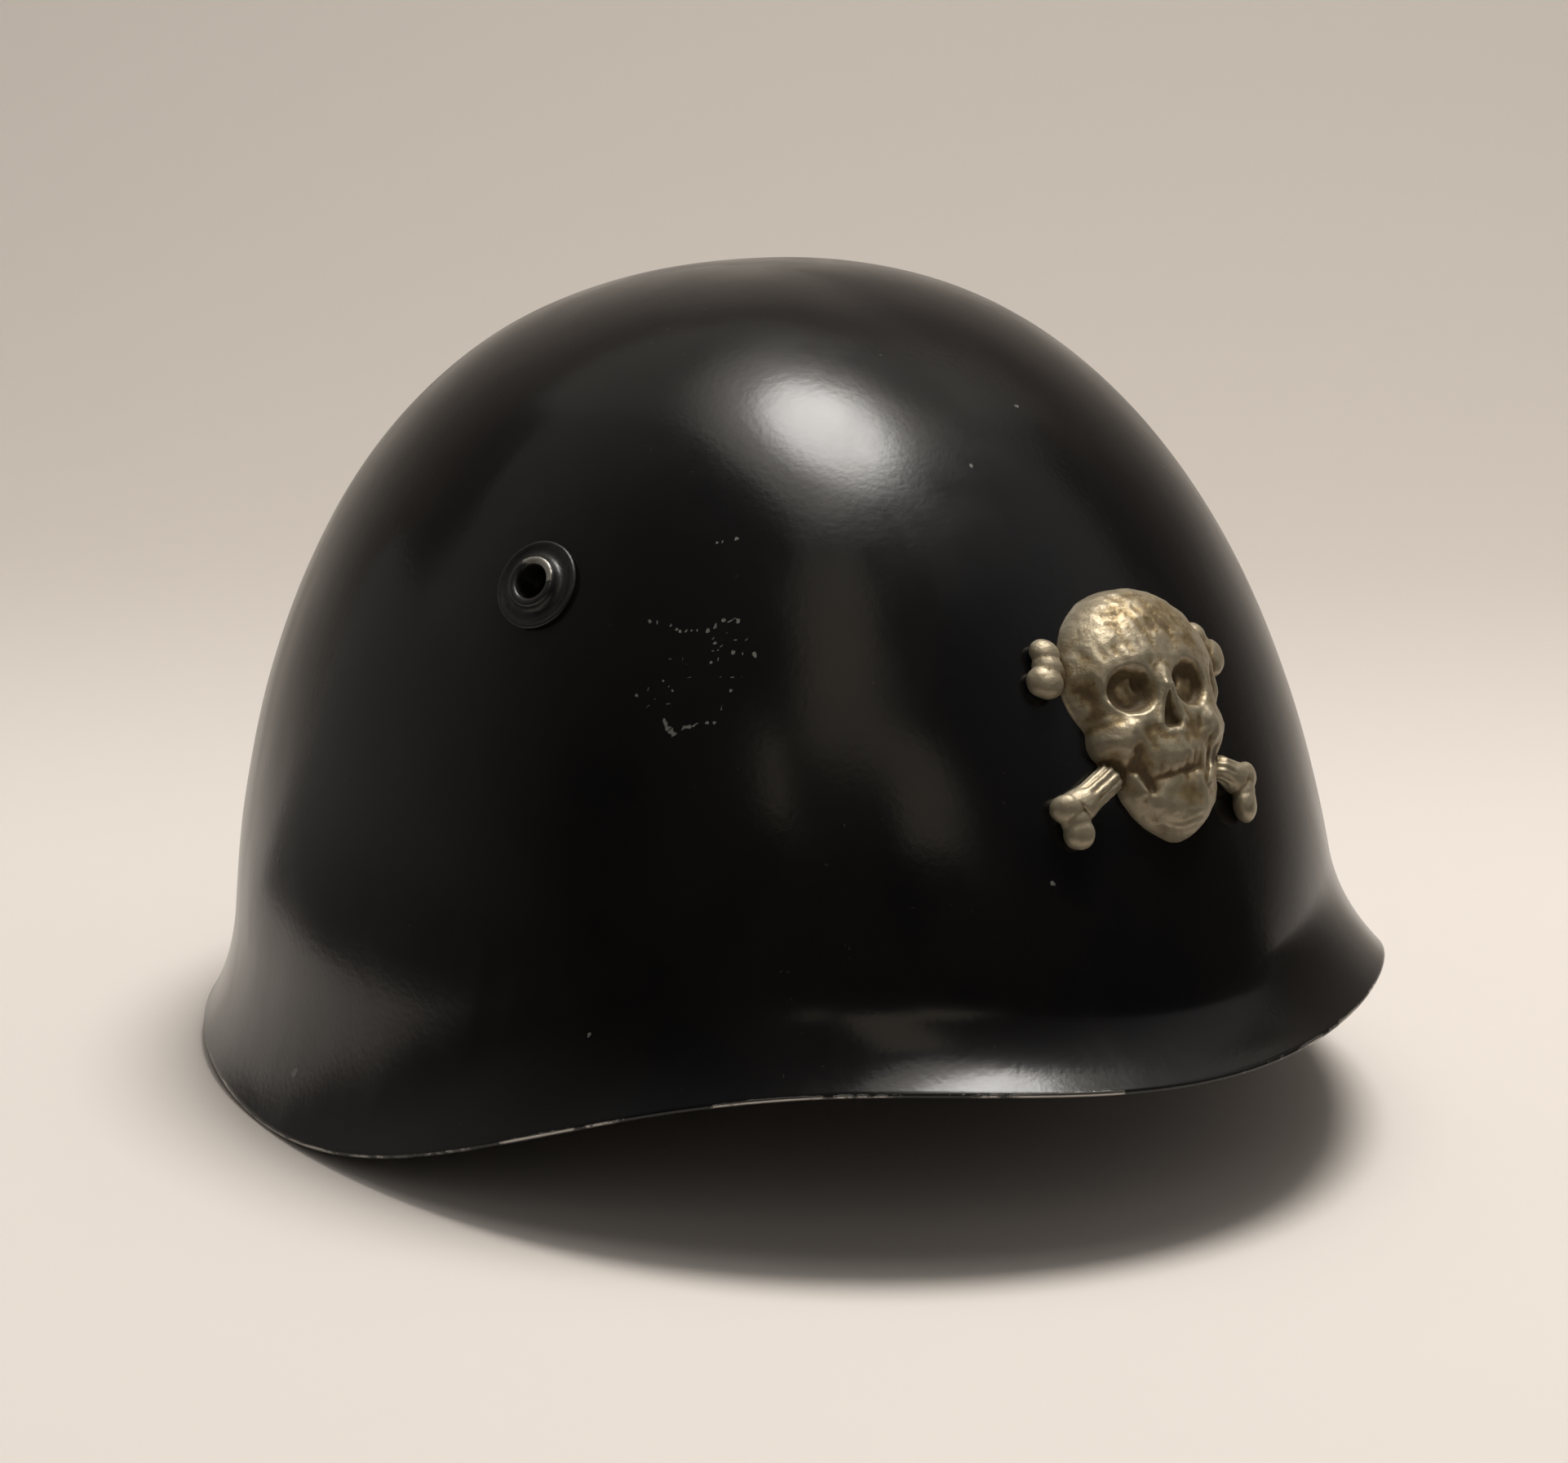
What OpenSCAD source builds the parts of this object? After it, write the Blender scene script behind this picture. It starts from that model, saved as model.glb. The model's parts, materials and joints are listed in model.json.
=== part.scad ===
// Steel helmet with hollow vent rivets, a leather liner on a hung steel band, a chinstrap and a cast badge.
// +Z is up, the front faces -Y and the wearer's left is +X. The origin lies under the middle of the
// helmet, on the surface that it stands on. Angles round the bowl start at the front: 0 is the front,
// 90 the wearer's left, 180 the back and -90 the wearer's right.

/* [Shell] */
// Height of the crown above the sides' edge
crown_h = 170; // [155:1:185]
// Half length of the dome's foot, in front of its widest section
dome_front = 133; // [124:1:140]
// Half length of the dome's foot, behind its widest section
dome_rear = 131; // [124:1:140]
// Half width of the dome's foot
dome_half_w = 110.5; // [104:0.5:120]
// Thickness of the sheet steel
shell_t = 1.2; // [0.8:0.1:1.8]
// Fullness of the dome's profile at the front, where 2 is an ellipse and more is squarer
full_front = 1.9; // [1.7:0.1:2.3]
// Fullness of the dome's profile at the sides
full_side = 2.4; // [2:0.1:2.6]
// Fullness of the dome's profile at the back
full_rear = 2.2; // [1.9:0.1:2.5]

/* [Rim] */
// Height of the rim at the very front, above the sides' edge
rim_front = 32.5; // [25:0.5:40]
// Height of the rim beside the brow, 30 degrees from the front
rim_brow = 35; // [28:0.5:40]
// Height of the rim over the temples, 60 degrees from the front
rim_temple = 23; // [15:0.5:28]
// Height of the rim at the ears, 90 degrees from the front
rim_ear = 1; // [0:0.5:4]
// Height of the rim behind the ears, 120 degrees from the front
rim_behind_ear = 1; // [0:0.5:4]
// Height of the rim beside the nape, 150 degrees from the front
rim_neck = 1.5; // [0:0.5:4]
// Height of the rim at the very back
rim_nape = 0; // [0:0.5:4]
// How far the rim flares outwards at the front
flare_front = 11.5; // [8:0.5:18]
// How far the rim flares outwards at the sides
flare_side = 6.5; // [3:0.5:10]
// How far the rim flares outwards at the back
flare_rear = 7.5; // [4:0.5:14]
// Height over which the front flares
flare_front_h = 13; // [8:1:30]
// Height over which the sides flare
flare_side_h = 30; // [15:1:40]
// Height over which the back flares
flare_rear_h = 21; // [12:1:35]
// Curl of the flare: higher keeps more of it near the edge
flare_curl = 2.2; // [1.6:0.1:3]

/* [Vent rivets] */
// Height of the vent rivets' holes on the shell
vent_z = 121; // [100:0.5:130]
// Angle of the two side vents from the front
vent_side_angle = 74; // [65:1:80]
// Diameter of a vent's hole
vent_bore_d = 6.8; // [5:0.1:8]
// Diameter of the rivet's tube in the shell
vent_tube_d = 9; // [8.2:0.1:10]
// Diameter of the rivet's flange
vent_flange_d = 18; // [15:0.5:22]
// Diameter of the raised collar round the hole
vent_collar_d = 10.4; // [9.6:0.1:12]
// Height of the collar above the shell
vent_collar_h = 3; // [1.5:0.1:4]
// Thickness of the rivet's sheet at the flange's edge
vent_edge_t = 0.7; // [0.5:0.1:1.2]
// Diameter of the rolled end inside the helmet
vent_roll_d = 13; // [11.5:0.5:15]
// Thickness of the rolled end
vent_roll_t = 1.4; // [0.8:0.1:2]
// Outer diameter of the washer under a rivet's rolled end
vent_washer_d = 16; // [14:0.5:20]
// Thickness of that washer
vent_washer_t = 1; // [0.6:0.1:1.6]

/* [Liner] */
// Half length of the head space, inside the sweatband
head_half_l = 99; // [92:1:104]
// Half width of the head space, inside the sweatband
head_half_w = 83; // [76:1:88]
// Height of the steel band's lower edge
band_z = 28; // [24:1:40]
// Height of the steel band
band_h = 22; // [18:1:28]
// Thickness of the steel band
band_t = 0.8; // [0.6:0.1:1.2]
// Thickness of the felt ring
felt_t = 5; // [3:0.5:7]
// Height of the felt ring
felt_h = 20; // [14:1:24]
// Thickness of the leather
leather_t = 1.8; // [1.2:0.1:2.4]
// How far the sweatband hangs below the steel band
sweat_drop = 4; // [1:0.5:8]
// Height of the sweatband's top edge above the steel band's lower edge, where the tongues start
sweat_top = 24; // [20:1:30]
// Number of leather tongues
tongue_count = 8; // [6:1:10]
// Height of the leather crown above the tongues' roots
tongue_rise = 88; // [75:1:95]
// Angle of the tongues' tips up the crown's curve
tongue_end = 76; // [68:1:80]
// Share of its pitch that a tongue fills at its root
tongue_root_share = 0.92; // [0.85:0.01:0.96]
// Share of its pitch that a tongue fills at its tip
tongue_tip_share = 0.68; // [0.6:0.01:0.75]
// Diameter of the lace's holes in the tongues
lace_hole_d = 6.2; // [5.8:0.2:7]
// Diameter of the lace
lace_d = 2; // [1.4:0.1:2.4]
// How far the lace weaves above and below the tongues
lace_weave = 4.2; // [4:0.1:5]
// Number of rivets that hold leather and felt to the band
liner_rivet_count = 8; // [6:1:12]

/* [Hangers] */
// Width of the sheet steel hangers
hanger_w = 16; // [14:1:20]
// Thickness of the hangers
hanger_t = 1; // [0.8:0.1:1.4]
// Distance between a hanger's two rivets on the band
hanger_rivet_pitch = 8; // [7:0.5:10]
// Diameter of the small rivets' shanks
pin_d = 2.4; // [2:0.1:3]
// Diameter of the small rivets' heads
pin_head_d = 4.6; // [4:0.1:6]
// Height of the small rivets' heads
pin_head_h = 1; // [0.6:0.1:1.4]

/* [Chinstrap] */
// Thickness of the strap
strap_t = 1.8; // [1.2:0.1:2.2]
// Width of the strap
strap_w = 15; // [12:0.5:16]
// Diameter of the bails' wire
bail_wire_d = 2.4; // [2:0.1:2.8]
// Inner width of a bail
bail_w = 18; // [17:0.5:20]
// Distance between a bail's upper and lower bars
bail_h = 15; // [13:0.5:16]
// Width of the lugs that hold the bails
lug_w = 12; // [10:0.5:14]
// Height of a lug's plate on the band
lug_h = 15; // [14:0.5:20]
// How far the lug's eye hangs below the band's lower edge
lug_drop = 1.5; // [1:0.5:3]
// Thickness of the lugs' sheet
lug_t = 0.8; // [0.6:0.1:1]
// How far inside the leather's inner face the stowed strap's arch stands
arch_clear = 11; // [9:0.5:14]
// Height at which the arch leaves its straight sides
arch_z = 82; // [80:1:86]
// Rise of the arch above its straight sides
arch_rise = 42; // [36:1:45]
// Radius of the strap's bend under the leather
strap_bend_r = 7; // [6:0.5:9]
// Height of the buckle's bar
buckle_z = 62; // [60:1:66]
// Distance from the buckle's bar to its far end
buckle_l = 16; // [15:0.5:17]
// Diameter of the buckle's wire
buckle_wire_d = 2.2; // [1.8:0.1:2.4]
// Diameter of the buckle's prong
prong_d = 1.6; // [1.2:0.1:1.8]
// Height of the keeper's middle
keeper_z = 40; // [39:0.5:42]
// Width of the keeper along the strap
keeper_w = 8; // [6:0.5:9]
// Thickness of the keeper's leather
keeper_t = 1.4; // [1:0.1:1.8]
// Height of the strap's tip
strap_tip_z = 23; // [20:1:26]
// Distance between the holes along the strap
strap_hole_pitch = 13; // [11:0.5:15]
// Diameter of the strap's holes
strap_hole_d = 3; // [2.4:0.1:3.4]

/* [Badge] */
// Height of the badge's middle on the shell
badge_z = 94.5; // [90:0.5:105]
// How far round from the front the badge sits, towards the wearer's left
badge_angle = 3.5; // [0:0.5:5]
// How far the badge is turned clockwise
badge_roll = 5; // [0:1:8]
// How far the skull stands out from the shell
badge_relief = 12; // [10:0.5:13]
// Half width of the skull's brain case
skull_half_w = 20.5; // [19:0.5:22]
// Height of the skull's top above the badge's middle
skull_top = 28.5; // [26:0.5:31]
// Depth of the skull's chin below the badge's middle
skull_chin = 23; // [21:0.5:26]
// Distance across the crossed bones' ends
bones_w = 46; // [44:1:50]
// Distance from the upper to the lower bones' ends
bones_h = 31; // [28:1:36]
// Diameter of a bone's shaft
bone_d = 6; // [5:0.5:7]
// Diameter of the knobs on a bone's ends
knob_d = 8; // [7:0.5:9]
// Distance between the badge's two studs
stud_pitch = 20; // [16:1:24]
// Diameter of the studs
stud_d = 3; // [2.5:0.1:4]
// Diameter of the studs' washers
stud_washer_d = 8; // [7:0.5:9]
// Width of the studs' nuts across their flats
stud_nut_w = 5.5; // [5:0.1:7]
// Height of the studs' nuts
stud_nut_h = 2.4; // [1.8:0.1:3]

/* [Fits] */
// Gap between pieces that are seated on each other
seat_gap = 0.05; // [0.02:0.01:0.1]
// Gap round soft pieces
soft_gap = 0.3; // [0.3:0.05:0.5]
// Radial running clearance of the bails, the buckle and its prong
running_gap = 0.05; // [0.03:0.01:0.08]
// Radial clearance of rivets and studs in their holes
hole_gap = 0.1; // [0.05:0.05:0.2]

/* [Hidden] */
$fn = 48;

// Places of the vents, as angles from the front
VENTS = [-vent_side_angle, vent_side_angle, 180];
// Grid of the shell's surface
SHELL_COLUMNS = 64;
DOME_RINGS = 17;
FLARE_RINGS = 7;
// Points round an oval ring
OVAL_POINTS = 72;
// Columns and rows of the leather: each tongue has this many columns, and the last cell is its gap
TONGUE_COLUMNS = 5;
SWEAT_ROWS = 2;
TONGUE_ROWS = 9;
LACE_STEPS = 12;
LACE_SIDES = 6;
// Share of a ring's step used to measure slopes
SLOPE = 0.01;
// How far the shell's flat facets lie inside its true curve
facet_gap = dome_front * (1 - cos(180 / SHELL_COLUMNS)) + crown_h * (1 - cos(45 / DOME_RINGS));
// Half width of the stowed strap's arch inside the bowl
arch_half_w = head_half_w - arch_clear;

// Small helpers
function lerp(a, b, t) = a + (b - a) * t;
function unit(v) = v / norm(v);
function three_way(front, side, rear, u) =
    side + (front - side) * pow(max(0, cos(u)), 2) + (rear - side) * pow(max(0, -cos(u)), 2);

// The shell's outer surface, at angle u and share s: 0 at the crown, 1 at the foot of the dome, 2 at the rim
RIM = [rim_front, rim_brow, rim_temple, rim_ear, rim_behind_ear, rim_neck, rim_nape];
RIM_STEPS = len(RIM) - 1;
function ends_half(i) = i == 0 || i == RIM_STEPS ? 0.5 : 1;
function total(list, i = 0) = i == len(list) ? 0 : list[i] + total(list, i + 1);
// The rim is the smooth curve of cosines through its given heights
RIM_WAVES = [for (k = [0 : RIM_STEPS]) 2 / RIM_STEPS * ends_half(k)
    * total([for (j = [0 : RIM_STEPS]) ends_half(j) * RIM[j] * cos(180 * j * k / RIM_STEPS)])];
function rim_z(u) = total([for (k = [0 : RIM_STEPS]) RIM_WAVES[k] * cos(k * u)]);
function fullness(u) = three_way(full_front, full_side, full_rear, u);
function flare_w(u) = three_way(flare_front, flare_side, flare_rear, u);
function flare_h(u) = three_way(flare_front_h, flare_side_h, flare_rear_h, u);
function dome_l(u) = cos(u) > 0 ? dome_front : dome_rear;
function foot(u) = [dome_half_w * sin(u), -dome_l(u) * cos(u)];
function foot_normal(u) = unit([sin(u) / dome_half_w, -cos(u) / dome_l(u)]);
function dome_end(u) = acos(pow((rim_z(u) + flare_h(u)) / crown_h, fullness(u) / 2));
function dome_point(u, s) = let (a = dome_end(u) * s, e = 2 / fullness(u), k = pow(sin(a), e))
    [foot(u)[0] * k, foot(u)[1] * k, crown_h * pow(cos(a), e)];
function flare_point(u, t) = let (
        z = rim_z(u) + flare_h(u) * (1 - t),
        k = pow(1 - pow(max(z, 0) / crown_h, fullness(u)), 1 / fullness(u)),
        out = flare_w(u) * pow(t, flare_curl) * foot_normal(u))
    [foot(u)[0] * k + out[0], foot(u)[1] * k + out[1], z];
function raw_skin(u, s) = s <= 1 ? dome_point(u, s) : flare_point(u, s - 1);
function skin_normal(u, s) = s == 0 ? [0, 0, 1] : unit(cross(
    raw_skin(u + 0.5, s) - raw_skin(u - 0.5, s),
    raw_skin(u, s - SLOPE) - raw_skin(u, min(2, s + SLOPE))));
// Half the difference of the front and rear reach, taken off so that the origin is in the middle
middle_y = (raw_skin(0, 2)[1] + raw_skin(180, 2)[1]) / 2;
// The rim's lowest height, taken off so that the helmet stands on Z = 0
SHELL_ANGLES = [for (j = [0 : SHELL_COLUMNS - 1]) 360 * j / SHELL_COLUMNS];
rim_low = min([for (u = SHELL_ANGLES) raw_skin(u, 2)[2] - max(0, shell_t * skin_normal(u, 2)[2])]);
function skin(u, s) = raw_skin(u, s) - [0, middle_y, rim_low];
function inner_skin(u, s) = skin(u, s) - shell_t * skin_normal(u, s);
// Share s of the dome's point at height z
function share_at(u, z) = acos(pow((z + rim_low) / crown_h, fullness(u) / 2)) / dome_end(u);
function point_at(u, z) = skin(u, share_at(u, z));
function normal_at(u, z) = skin_normal(u, share_at(u, z));

// How far the skin falls below its tangent plane within a distance r of a point, facets included
function skin_drop(u, z, r) = let (
        p = point_at(u, z), n = normal_at(u, z),
        da = r / norm(point_at(u + 1, z) - p), dz = r * norm([n[0], n[1]]),
        around = [for (i = [0 : 7]) point_at(u + da * cos(45 * i), z + dz * sin(45 * i))])
    facet_gap + max([for (q = around) (p - q) * n]);

// Moves children onto the shell: +Z is the outward normal there and -X points up the slope
module on_shell(u, z) {
    n = normal_at(u, z);
    translate(point_at(u, z)) rotate([0, acos(n[2]), atan2(n[1], n[0])]) children();
}

// Faces of a grid of closed rings, each of count points, from ring first, wound outwards or inwards
function ring_faces(first, rings, count, outwards) = [
    for (i = [0 : rings - 2], j = [0 : count - 1])
        let (a = first + i * count + j, b = first + i * count + (j + 1) % count, c = b + count, d = a + count)
        each outwards ? [[a, b, c], [a, c, d]] : [[a, c, b], [a, d, c]]];

module shell_skin() {
    shares = [for (i = [1 : DOME_RINGS]) i / DOME_RINGS, for (i = [1 : FLARE_RINGS]) 1 + i / FLARE_RINGS];
    rings = len(shares);
    count = rings * SHELL_COLUMNS;
    outer = [for (s = shares, u = SHELL_ANGLES) skin(u, s)];
    inner = [for (s = shares, u = SHELL_ANGLES) inner_skin(u, s)];
    crown = [skin(0, 0), skin(0, 0) - [0, 0, shell_t]];
    last = count - SHELL_COLUMNS;
    caps = [for (j = [0 : SHELL_COLUMNS - 1]) let (k = (j + 1) % SHELL_COLUMNS)
        each [[2 * count, k, j], [2 * count + 1, count + j, count + k]]];
    edge = [for (j = [0 : SHELL_COLUMNS - 1]) let (a = last + j, b = last + (j + 1) % SHELL_COLUMNS)
        each [[a, b, b + count], [a, b + count, a + count]]];
    polyhedron(
        points = [each outer, each inner, each crown],
        faces = [
            each ring_faces(0, rings, SHELL_COLUMNS, false),
            each ring_faces(count, rings, SHELL_COLUMNS, true),
            each caps, each edge
        ]);
}

module shell() color([0.03, 0.03, 0.035]) difference() {
    shell_skin();
    for (u = VENTS) on_shell(u, vent_z)
        cylinder(d = vent_tube_d + 2 * hole_gap, h = 6 * shell_t + 4, center = true);
    on_badge() studs_along() cylinder(d = stud_d + 2 * hole_gap, h = 6 * shell_t + 4, center = true);
}

// Depths below the shell's outer surface of what a vent rivet clamps
washer_drop = max([for (u = VENTS) skin_drop(u, vent_z, vent_washer_d / 2)]);
vent_washer_top = -shell_t - washer_drop - seat_gap;
hanger_top = vent_washer_top - vent_washer_t - seat_gap;
vent_roll_top = hanger_top - hanger_t - seat_gap;
vent_end = vent_roll_top - vent_roll_t;

module vent_rivet(u) color([0.06, 0.06, 0.065]) on_shell(u, vent_z) rotate_extrude() polygon([
    [vent_bore_d / 2, vent_end],
    [vent_roll_d / 2 - 0.4, vent_end],
    [vent_roll_d / 2, vent_end + 0.4],
    [vent_roll_d / 2, vent_roll_top],
    [vent_tube_d / 2, vent_roll_top],
    [vent_tube_d / 2, seat_gap],
    [vent_flange_d / 2, seat_gap],
    [vent_flange_d / 2, vent_edge_t],
    [vent_flange_d / 2 - 0.5, vent_edge_t + 0.2],
    [vent_collar_d / 2 + 1, vent_edge_t + 0.6],
    [vent_collar_d / 2 + 0.2, vent_edge_t + 1.1],
    [vent_collar_d / 2, vent_collar_h - 0.6],
    [vent_collar_d / 2 - 0.5, vent_collar_h],
    [vent_bore_d / 2 + 0.5, vent_collar_h],
    [vent_bore_d / 2, vent_collar_h - 0.5]
]);
module vent_rivet_right() vent_rivet(VENTS[0]);
module vent_rivet_left() vent_rivet(VENTS[1]);
module vent_rivet_rear() vent_rivet(VENTS[2]);

module ring(outer_d, inner_d, h) difference() {
    cylinder(d = outer_d, h = h);
    translate([0, 0, -1]) cylinder(d = inner_d, h = h + 2);
}
module vent_washers() color([0.55, 0.55, 0.53]) for (u = VENTS) on_shell(u, vent_z)
    translate([0, 0, vent_washer_top - vent_washer_t])
        ring(vent_washer_d, vent_tube_d + 2 * hole_gap, vent_washer_t);

// Oval rings of the liner, from the head outwards
leather_outer = leather_t;
felt_inner = leather_outer + soft_gap;
felt_outer = felt_inner + felt_t;
band_inner = felt_outer + soft_gap;
band_outer = band_inner + band_t;
function oval_point(u, grow) = [(head_half_w + grow) * sin(u), -(head_half_l + grow) * cos(u)];
function oval_normal(u, grow) = unit([sin(u) / (head_half_w + grow), -cos(u) / (head_half_l + grow)]);
module oval(grow) polygon([for (i = [0 : OVAL_POINTS - 1]) oval_point(360 * i / OVAL_POINTS, grow)]);
module oval_ring(inner, outer, h) linear_extrude(h) difference() {
    oval(outer);
    oval(inner);
}
// Moves children onto the band's outer face: +X is outwards and +Z up
module on_band(u, z) {
    p = oval_point(u, band_outer);
    n = oval_normal(u, band_outer);
    translate([p[0], p[1], z]) rotate([0, 0, atan2(n[1], n[0])]) children();
}

// The hangers: each lies in the upright plane of its vent's normal
band_mid = band_z + band_h / 2;
function level_normal(u) = unit([normal_at(u, vent_z)[0], normal_at(u, vent_z)[1]]);
// Distance from a vent's point out to the band's outer face, at s to the side of the hanger's middle
function band_at(u, s) = let (
        h = level_normal(u), p = point_at(u, vent_z) + s * [-h[1], h[0], 0],
        a = head_half_w + band_outer, b = head_half_l + band_outer,
        qa = pow(h[0] / a, 2) + pow(h[1] / b, 2),
        qb = p[0] * h[0] / (a * a) + p[1] * h[1] / (b * b),
        qc = pow(p[0] / a, 2) + pow(p[1] / b, 2) - 1)
    (sqrt(qb * qb - qa * qc) - qb) / qa;
// The flat hanger touches the curved band where the band comes furthest out
function hanger_x(u) = max([for (i = [-4 : 4]) band_at(u, i * hanger_w / 8)]) + seat_gap;
function hanger_route(u) = let (
        e = asin(normal_at(u, vent_z)[2]),
        along = [-sin(e), cos(e)],
        top = hanger_top - hanger_t / 2,
        seat = [cos(e) * top, vent_z + sin(e) * top],
        x = hanger_x(u) + hanger_t / 2)
    [seat + along * hanger_w / 2, seat - along * hanger_w / 2, [x, band_z + band_h + 4], [x, band_z + 2]];
module on_hanger(u) {
    p = point_at(u, vent_z);
    h = level_normal(u);
    translate([p[0], p[1], 0]) rotate([0, 0, atan2(h[1], h[0])]) children();
}
// A strip of even thickness along a route of points, with round bends
module strip_2d(route, t) {
    for (i = [0 : len(route) - 2]) {
        d = route[i + 1] - route[i];
        translate(route[i]) rotate(atan2(d[1], d[0])) translate([0, -t / 2]) square([norm(d), t]);
    }
    for (p = route) translate(p) circle(d = t);
}
// Stands a drawing upright: its X stays X and its Y becomes Z, with the width w centred on Y
module upright(w) translate([0, w / 2, 0]) rotate([90, 0, 0]) linear_extrude(w) children();

module hanger(u) color([0.35, 0.37, 0.35]) difference() {
    on_hanger(u) upright(hanger_w) strip_2d(hanger_route(u), hanger_t);
    on_shell(u, vent_z) translate([0, 0, hanger_top - hanger_t - 2])
        cylinder(d = vent_tube_d + 2 * hole_gap, h = hanger_t + 4);
    hanger_pins(u) rotate([0, 90, 0]) cylinder(d = pin_d + 2 * hole_gap, h = 10, center = true);
}
// Children at a hanger's two rivets: the band's outer face is at X = 0 and +X is outwards
module hanger_pin(u, s) on_hanger(u) translate([band_at(u, s), s, band_mid]) children();
module hanger_pins(u) for (s = [-0.5, 0.5]) hanger_pin(u, s * hanger_rivet_pitch) children();
module hanger_right() hanger(VENTS[0]);
module hanger_left() hanger(VENTS[1]);
module hanger_rear() hanger(VENTS[2]);

// A small rivet from x0 out to x1, with a flat head inside and a round one outside
module pin(x0, x1, inner_head_h) rotate([0, 90, 0]) {
    translate([0, 0, x0 - inner_head_h]) cylinder(d = pin_head_d, h = inner_head_h);
    translate([0, 0, x0 - inner_head_h]) cylinder(d = pin_d, h = x1 - x0 + inner_head_h + pin_head_h / 2);
    translate([0, 0, x1]) cylinder(d1 = pin_head_d, d2 = pin_head_d * 0.6, h = pin_head_h, $fn = 48);
}
// How far a pin's flat head is kept inside the band, whose curve it lies against
pin_bow = 0.3;
band_pin_head_h = 0.7;
module hanger_rivets() color([0.5, 0.5, 0.48]) for (u = VENTS, s = [-0.5, 0.5] * hanger_rivet_pitch)
    hanger_pin(u, s) pin(-band_t - pin_bow, hanger_x(u) - band_at(u, s) + hanger_t + seat_gap, band_pin_head_h);

// Lugs and their rivets stand at the ears
lug_eye_r = bail_wire_d / 2 + running_gap;
lug_plate_x = seat_gap + lug_t / 2;
bail_x = lug_plate_x + lug_t / 2 + lug_eye_r;
bail_z = band_z - lug_drop;
module lug_pins() for (s = [-0.25, 0.25]) translate([0, s * lug_w * 1.1, band_z + lug_h * 0.6]) children();
module lug() color([0.35, 0.37, 0.35]) difference() {
    upright(lug_w) difference() {
        union() {
            translate([lug_plate_x - lug_t / 2, bail_z]) square([lug_t, lug_h + lug_drop]);
            translate([bail_x, bail_z]) circle(r = lug_eye_r + lug_t);
        }
        translate([bail_x, bail_z]) circle(r = lug_eye_r);
    }
    lug_pins() rotate([0, 90, 0]) cylinder(d = pin_d + 2 * hole_gap, h = 10, center = true);
}
// Children at the left ear's band, or mirrored at the right ear's
module at_ear(side) scale_side(side) translate([head_half_w + band_outer, 0, 0]) children();
module scale_side(side) mirror([side < 0 ? 1 : 0, 0, 0]) children();
module lug_right() at_ear(-1) lug();
module lug_left() at_ear(1) lug();
module lug_rivets() color([0.5, 0.5, 0.48]) for (side = [-1, 1]) at_ear(side) lug_pins()
    pin(-band_t - pin_bow, seat_gap + lug_t + seat_gap, band_pin_head_h);

// A wire loop in the plane of Y and Z: corners at half width a and heights 0 and -h
module wire_loop(a, h, d, corner) {
    for (s = [-1, 1]) translate([0, s * a, -h + corner]) cylinder(d = d, h = h - 2 * corner);
    for (z = [0, -h]) translate([0, 0, z]) rotate([90, 0, 0]) cylinder(d = d, h = 2 * (a - corner), center = true);
    for (q = [[1, -1, 0], [-1, -1, 90], [-1, -h, 180], [1, -h, 270]])
        translate([0, q[0] * (a - corner), q[1] == -1 ? -corner : -h + corner])
            rotate([0, 90, 0]) rotate([0, 0, q[2] + 90]) rotate_extrude(angle = 90) translate([corner, 0]) circle(d = d);
}
bail_corner = 2.4;
bail_half_w = bail_w / 2 + bail_wire_d / 2;
module bail() color([0.45, 0.46, 0.45]) translate([bail_x, 0, bail_z])
    wire_loop(bail_half_w, bail_h, bail_wire_d, bail_corner);
module bail_right() at_ear(-1) bail();
module bail_left() at_ear(1) bail();

module liner_band() color([0.4, 0.42, 0.38]) difference() {
    translate([0, 0, band_z]) oval_ring(band_inner, band_outer, band_h);
    for (u = VENTS) hanger_pins(u) rotate([0, 90, 0]) cylinder(d = pin_d + 2 * hole_gap, h = 10, center = true);
    for (side = [-1, 1]) at_ear(side) lug_pins()
        rotate([0, 90, 0]) cylinder(d = pin_d + 2 * hole_gap, h = 10, center = true);
    liner_pins() rotate([0, 90, 0]) cylinder(d = pin_d + 2 * hole_gap, h = 20, center = true);
}

// Rivets that hold the leather: between the tongues, low on the band
liner_pin_z = band_z + 5;
module liner_pins() for (i = [0 : liner_rivet_count - 1]) on_band(360 * (i + 0.5) / liner_rivet_count, liner_pin_z)
    children();
module liner_rivets() color([0.62, 0.55, 0.33]) liner_pins()
    pin(-band_outer - pin_bow, pin_bow, 0.6);

// Pockets in the felt for the flat heads of the band's rivets
module felt_pockets() {
    for (u = VENTS) hanger_pins(u) pocket();
    for (side = [-1, 1]) at_ear(side) lug_pins() pocket();
}
module pocket() rotate([0, 90, 0])
    translate([0, 0, -band_t - pin_bow - band_pin_head_h - soft_gap]) cylinder(d = pin_head_d + 2 * soft_gap, h = 6);
module felt_pad() color([0.45, 0.47, 0.42]) difference() {
    translate([0, 0, band_z + (band_h - felt_h) / 2]) oval_ring(felt_inner, felt_outer, felt_h);
    felt_pockets();
    liner_pins() rotate([0, 90, 0]) cylinder(d = pin_d + 2 * soft_gap, h = 30, center = true);
}

// The leather: a sweatband whose top is cut into tongues that curve in to the crown
tongue_root_z = band_z + sweat_top;
sweat_z = band_z - sweat_drop;
LEATHER_COLUMNS = tongue_count * TONGUE_COLUMNS;
LEATHER_ROWS = SWEAT_ROWS + TONGUE_ROWS;
tongue_pitch = 360 / tongue_count;
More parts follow.
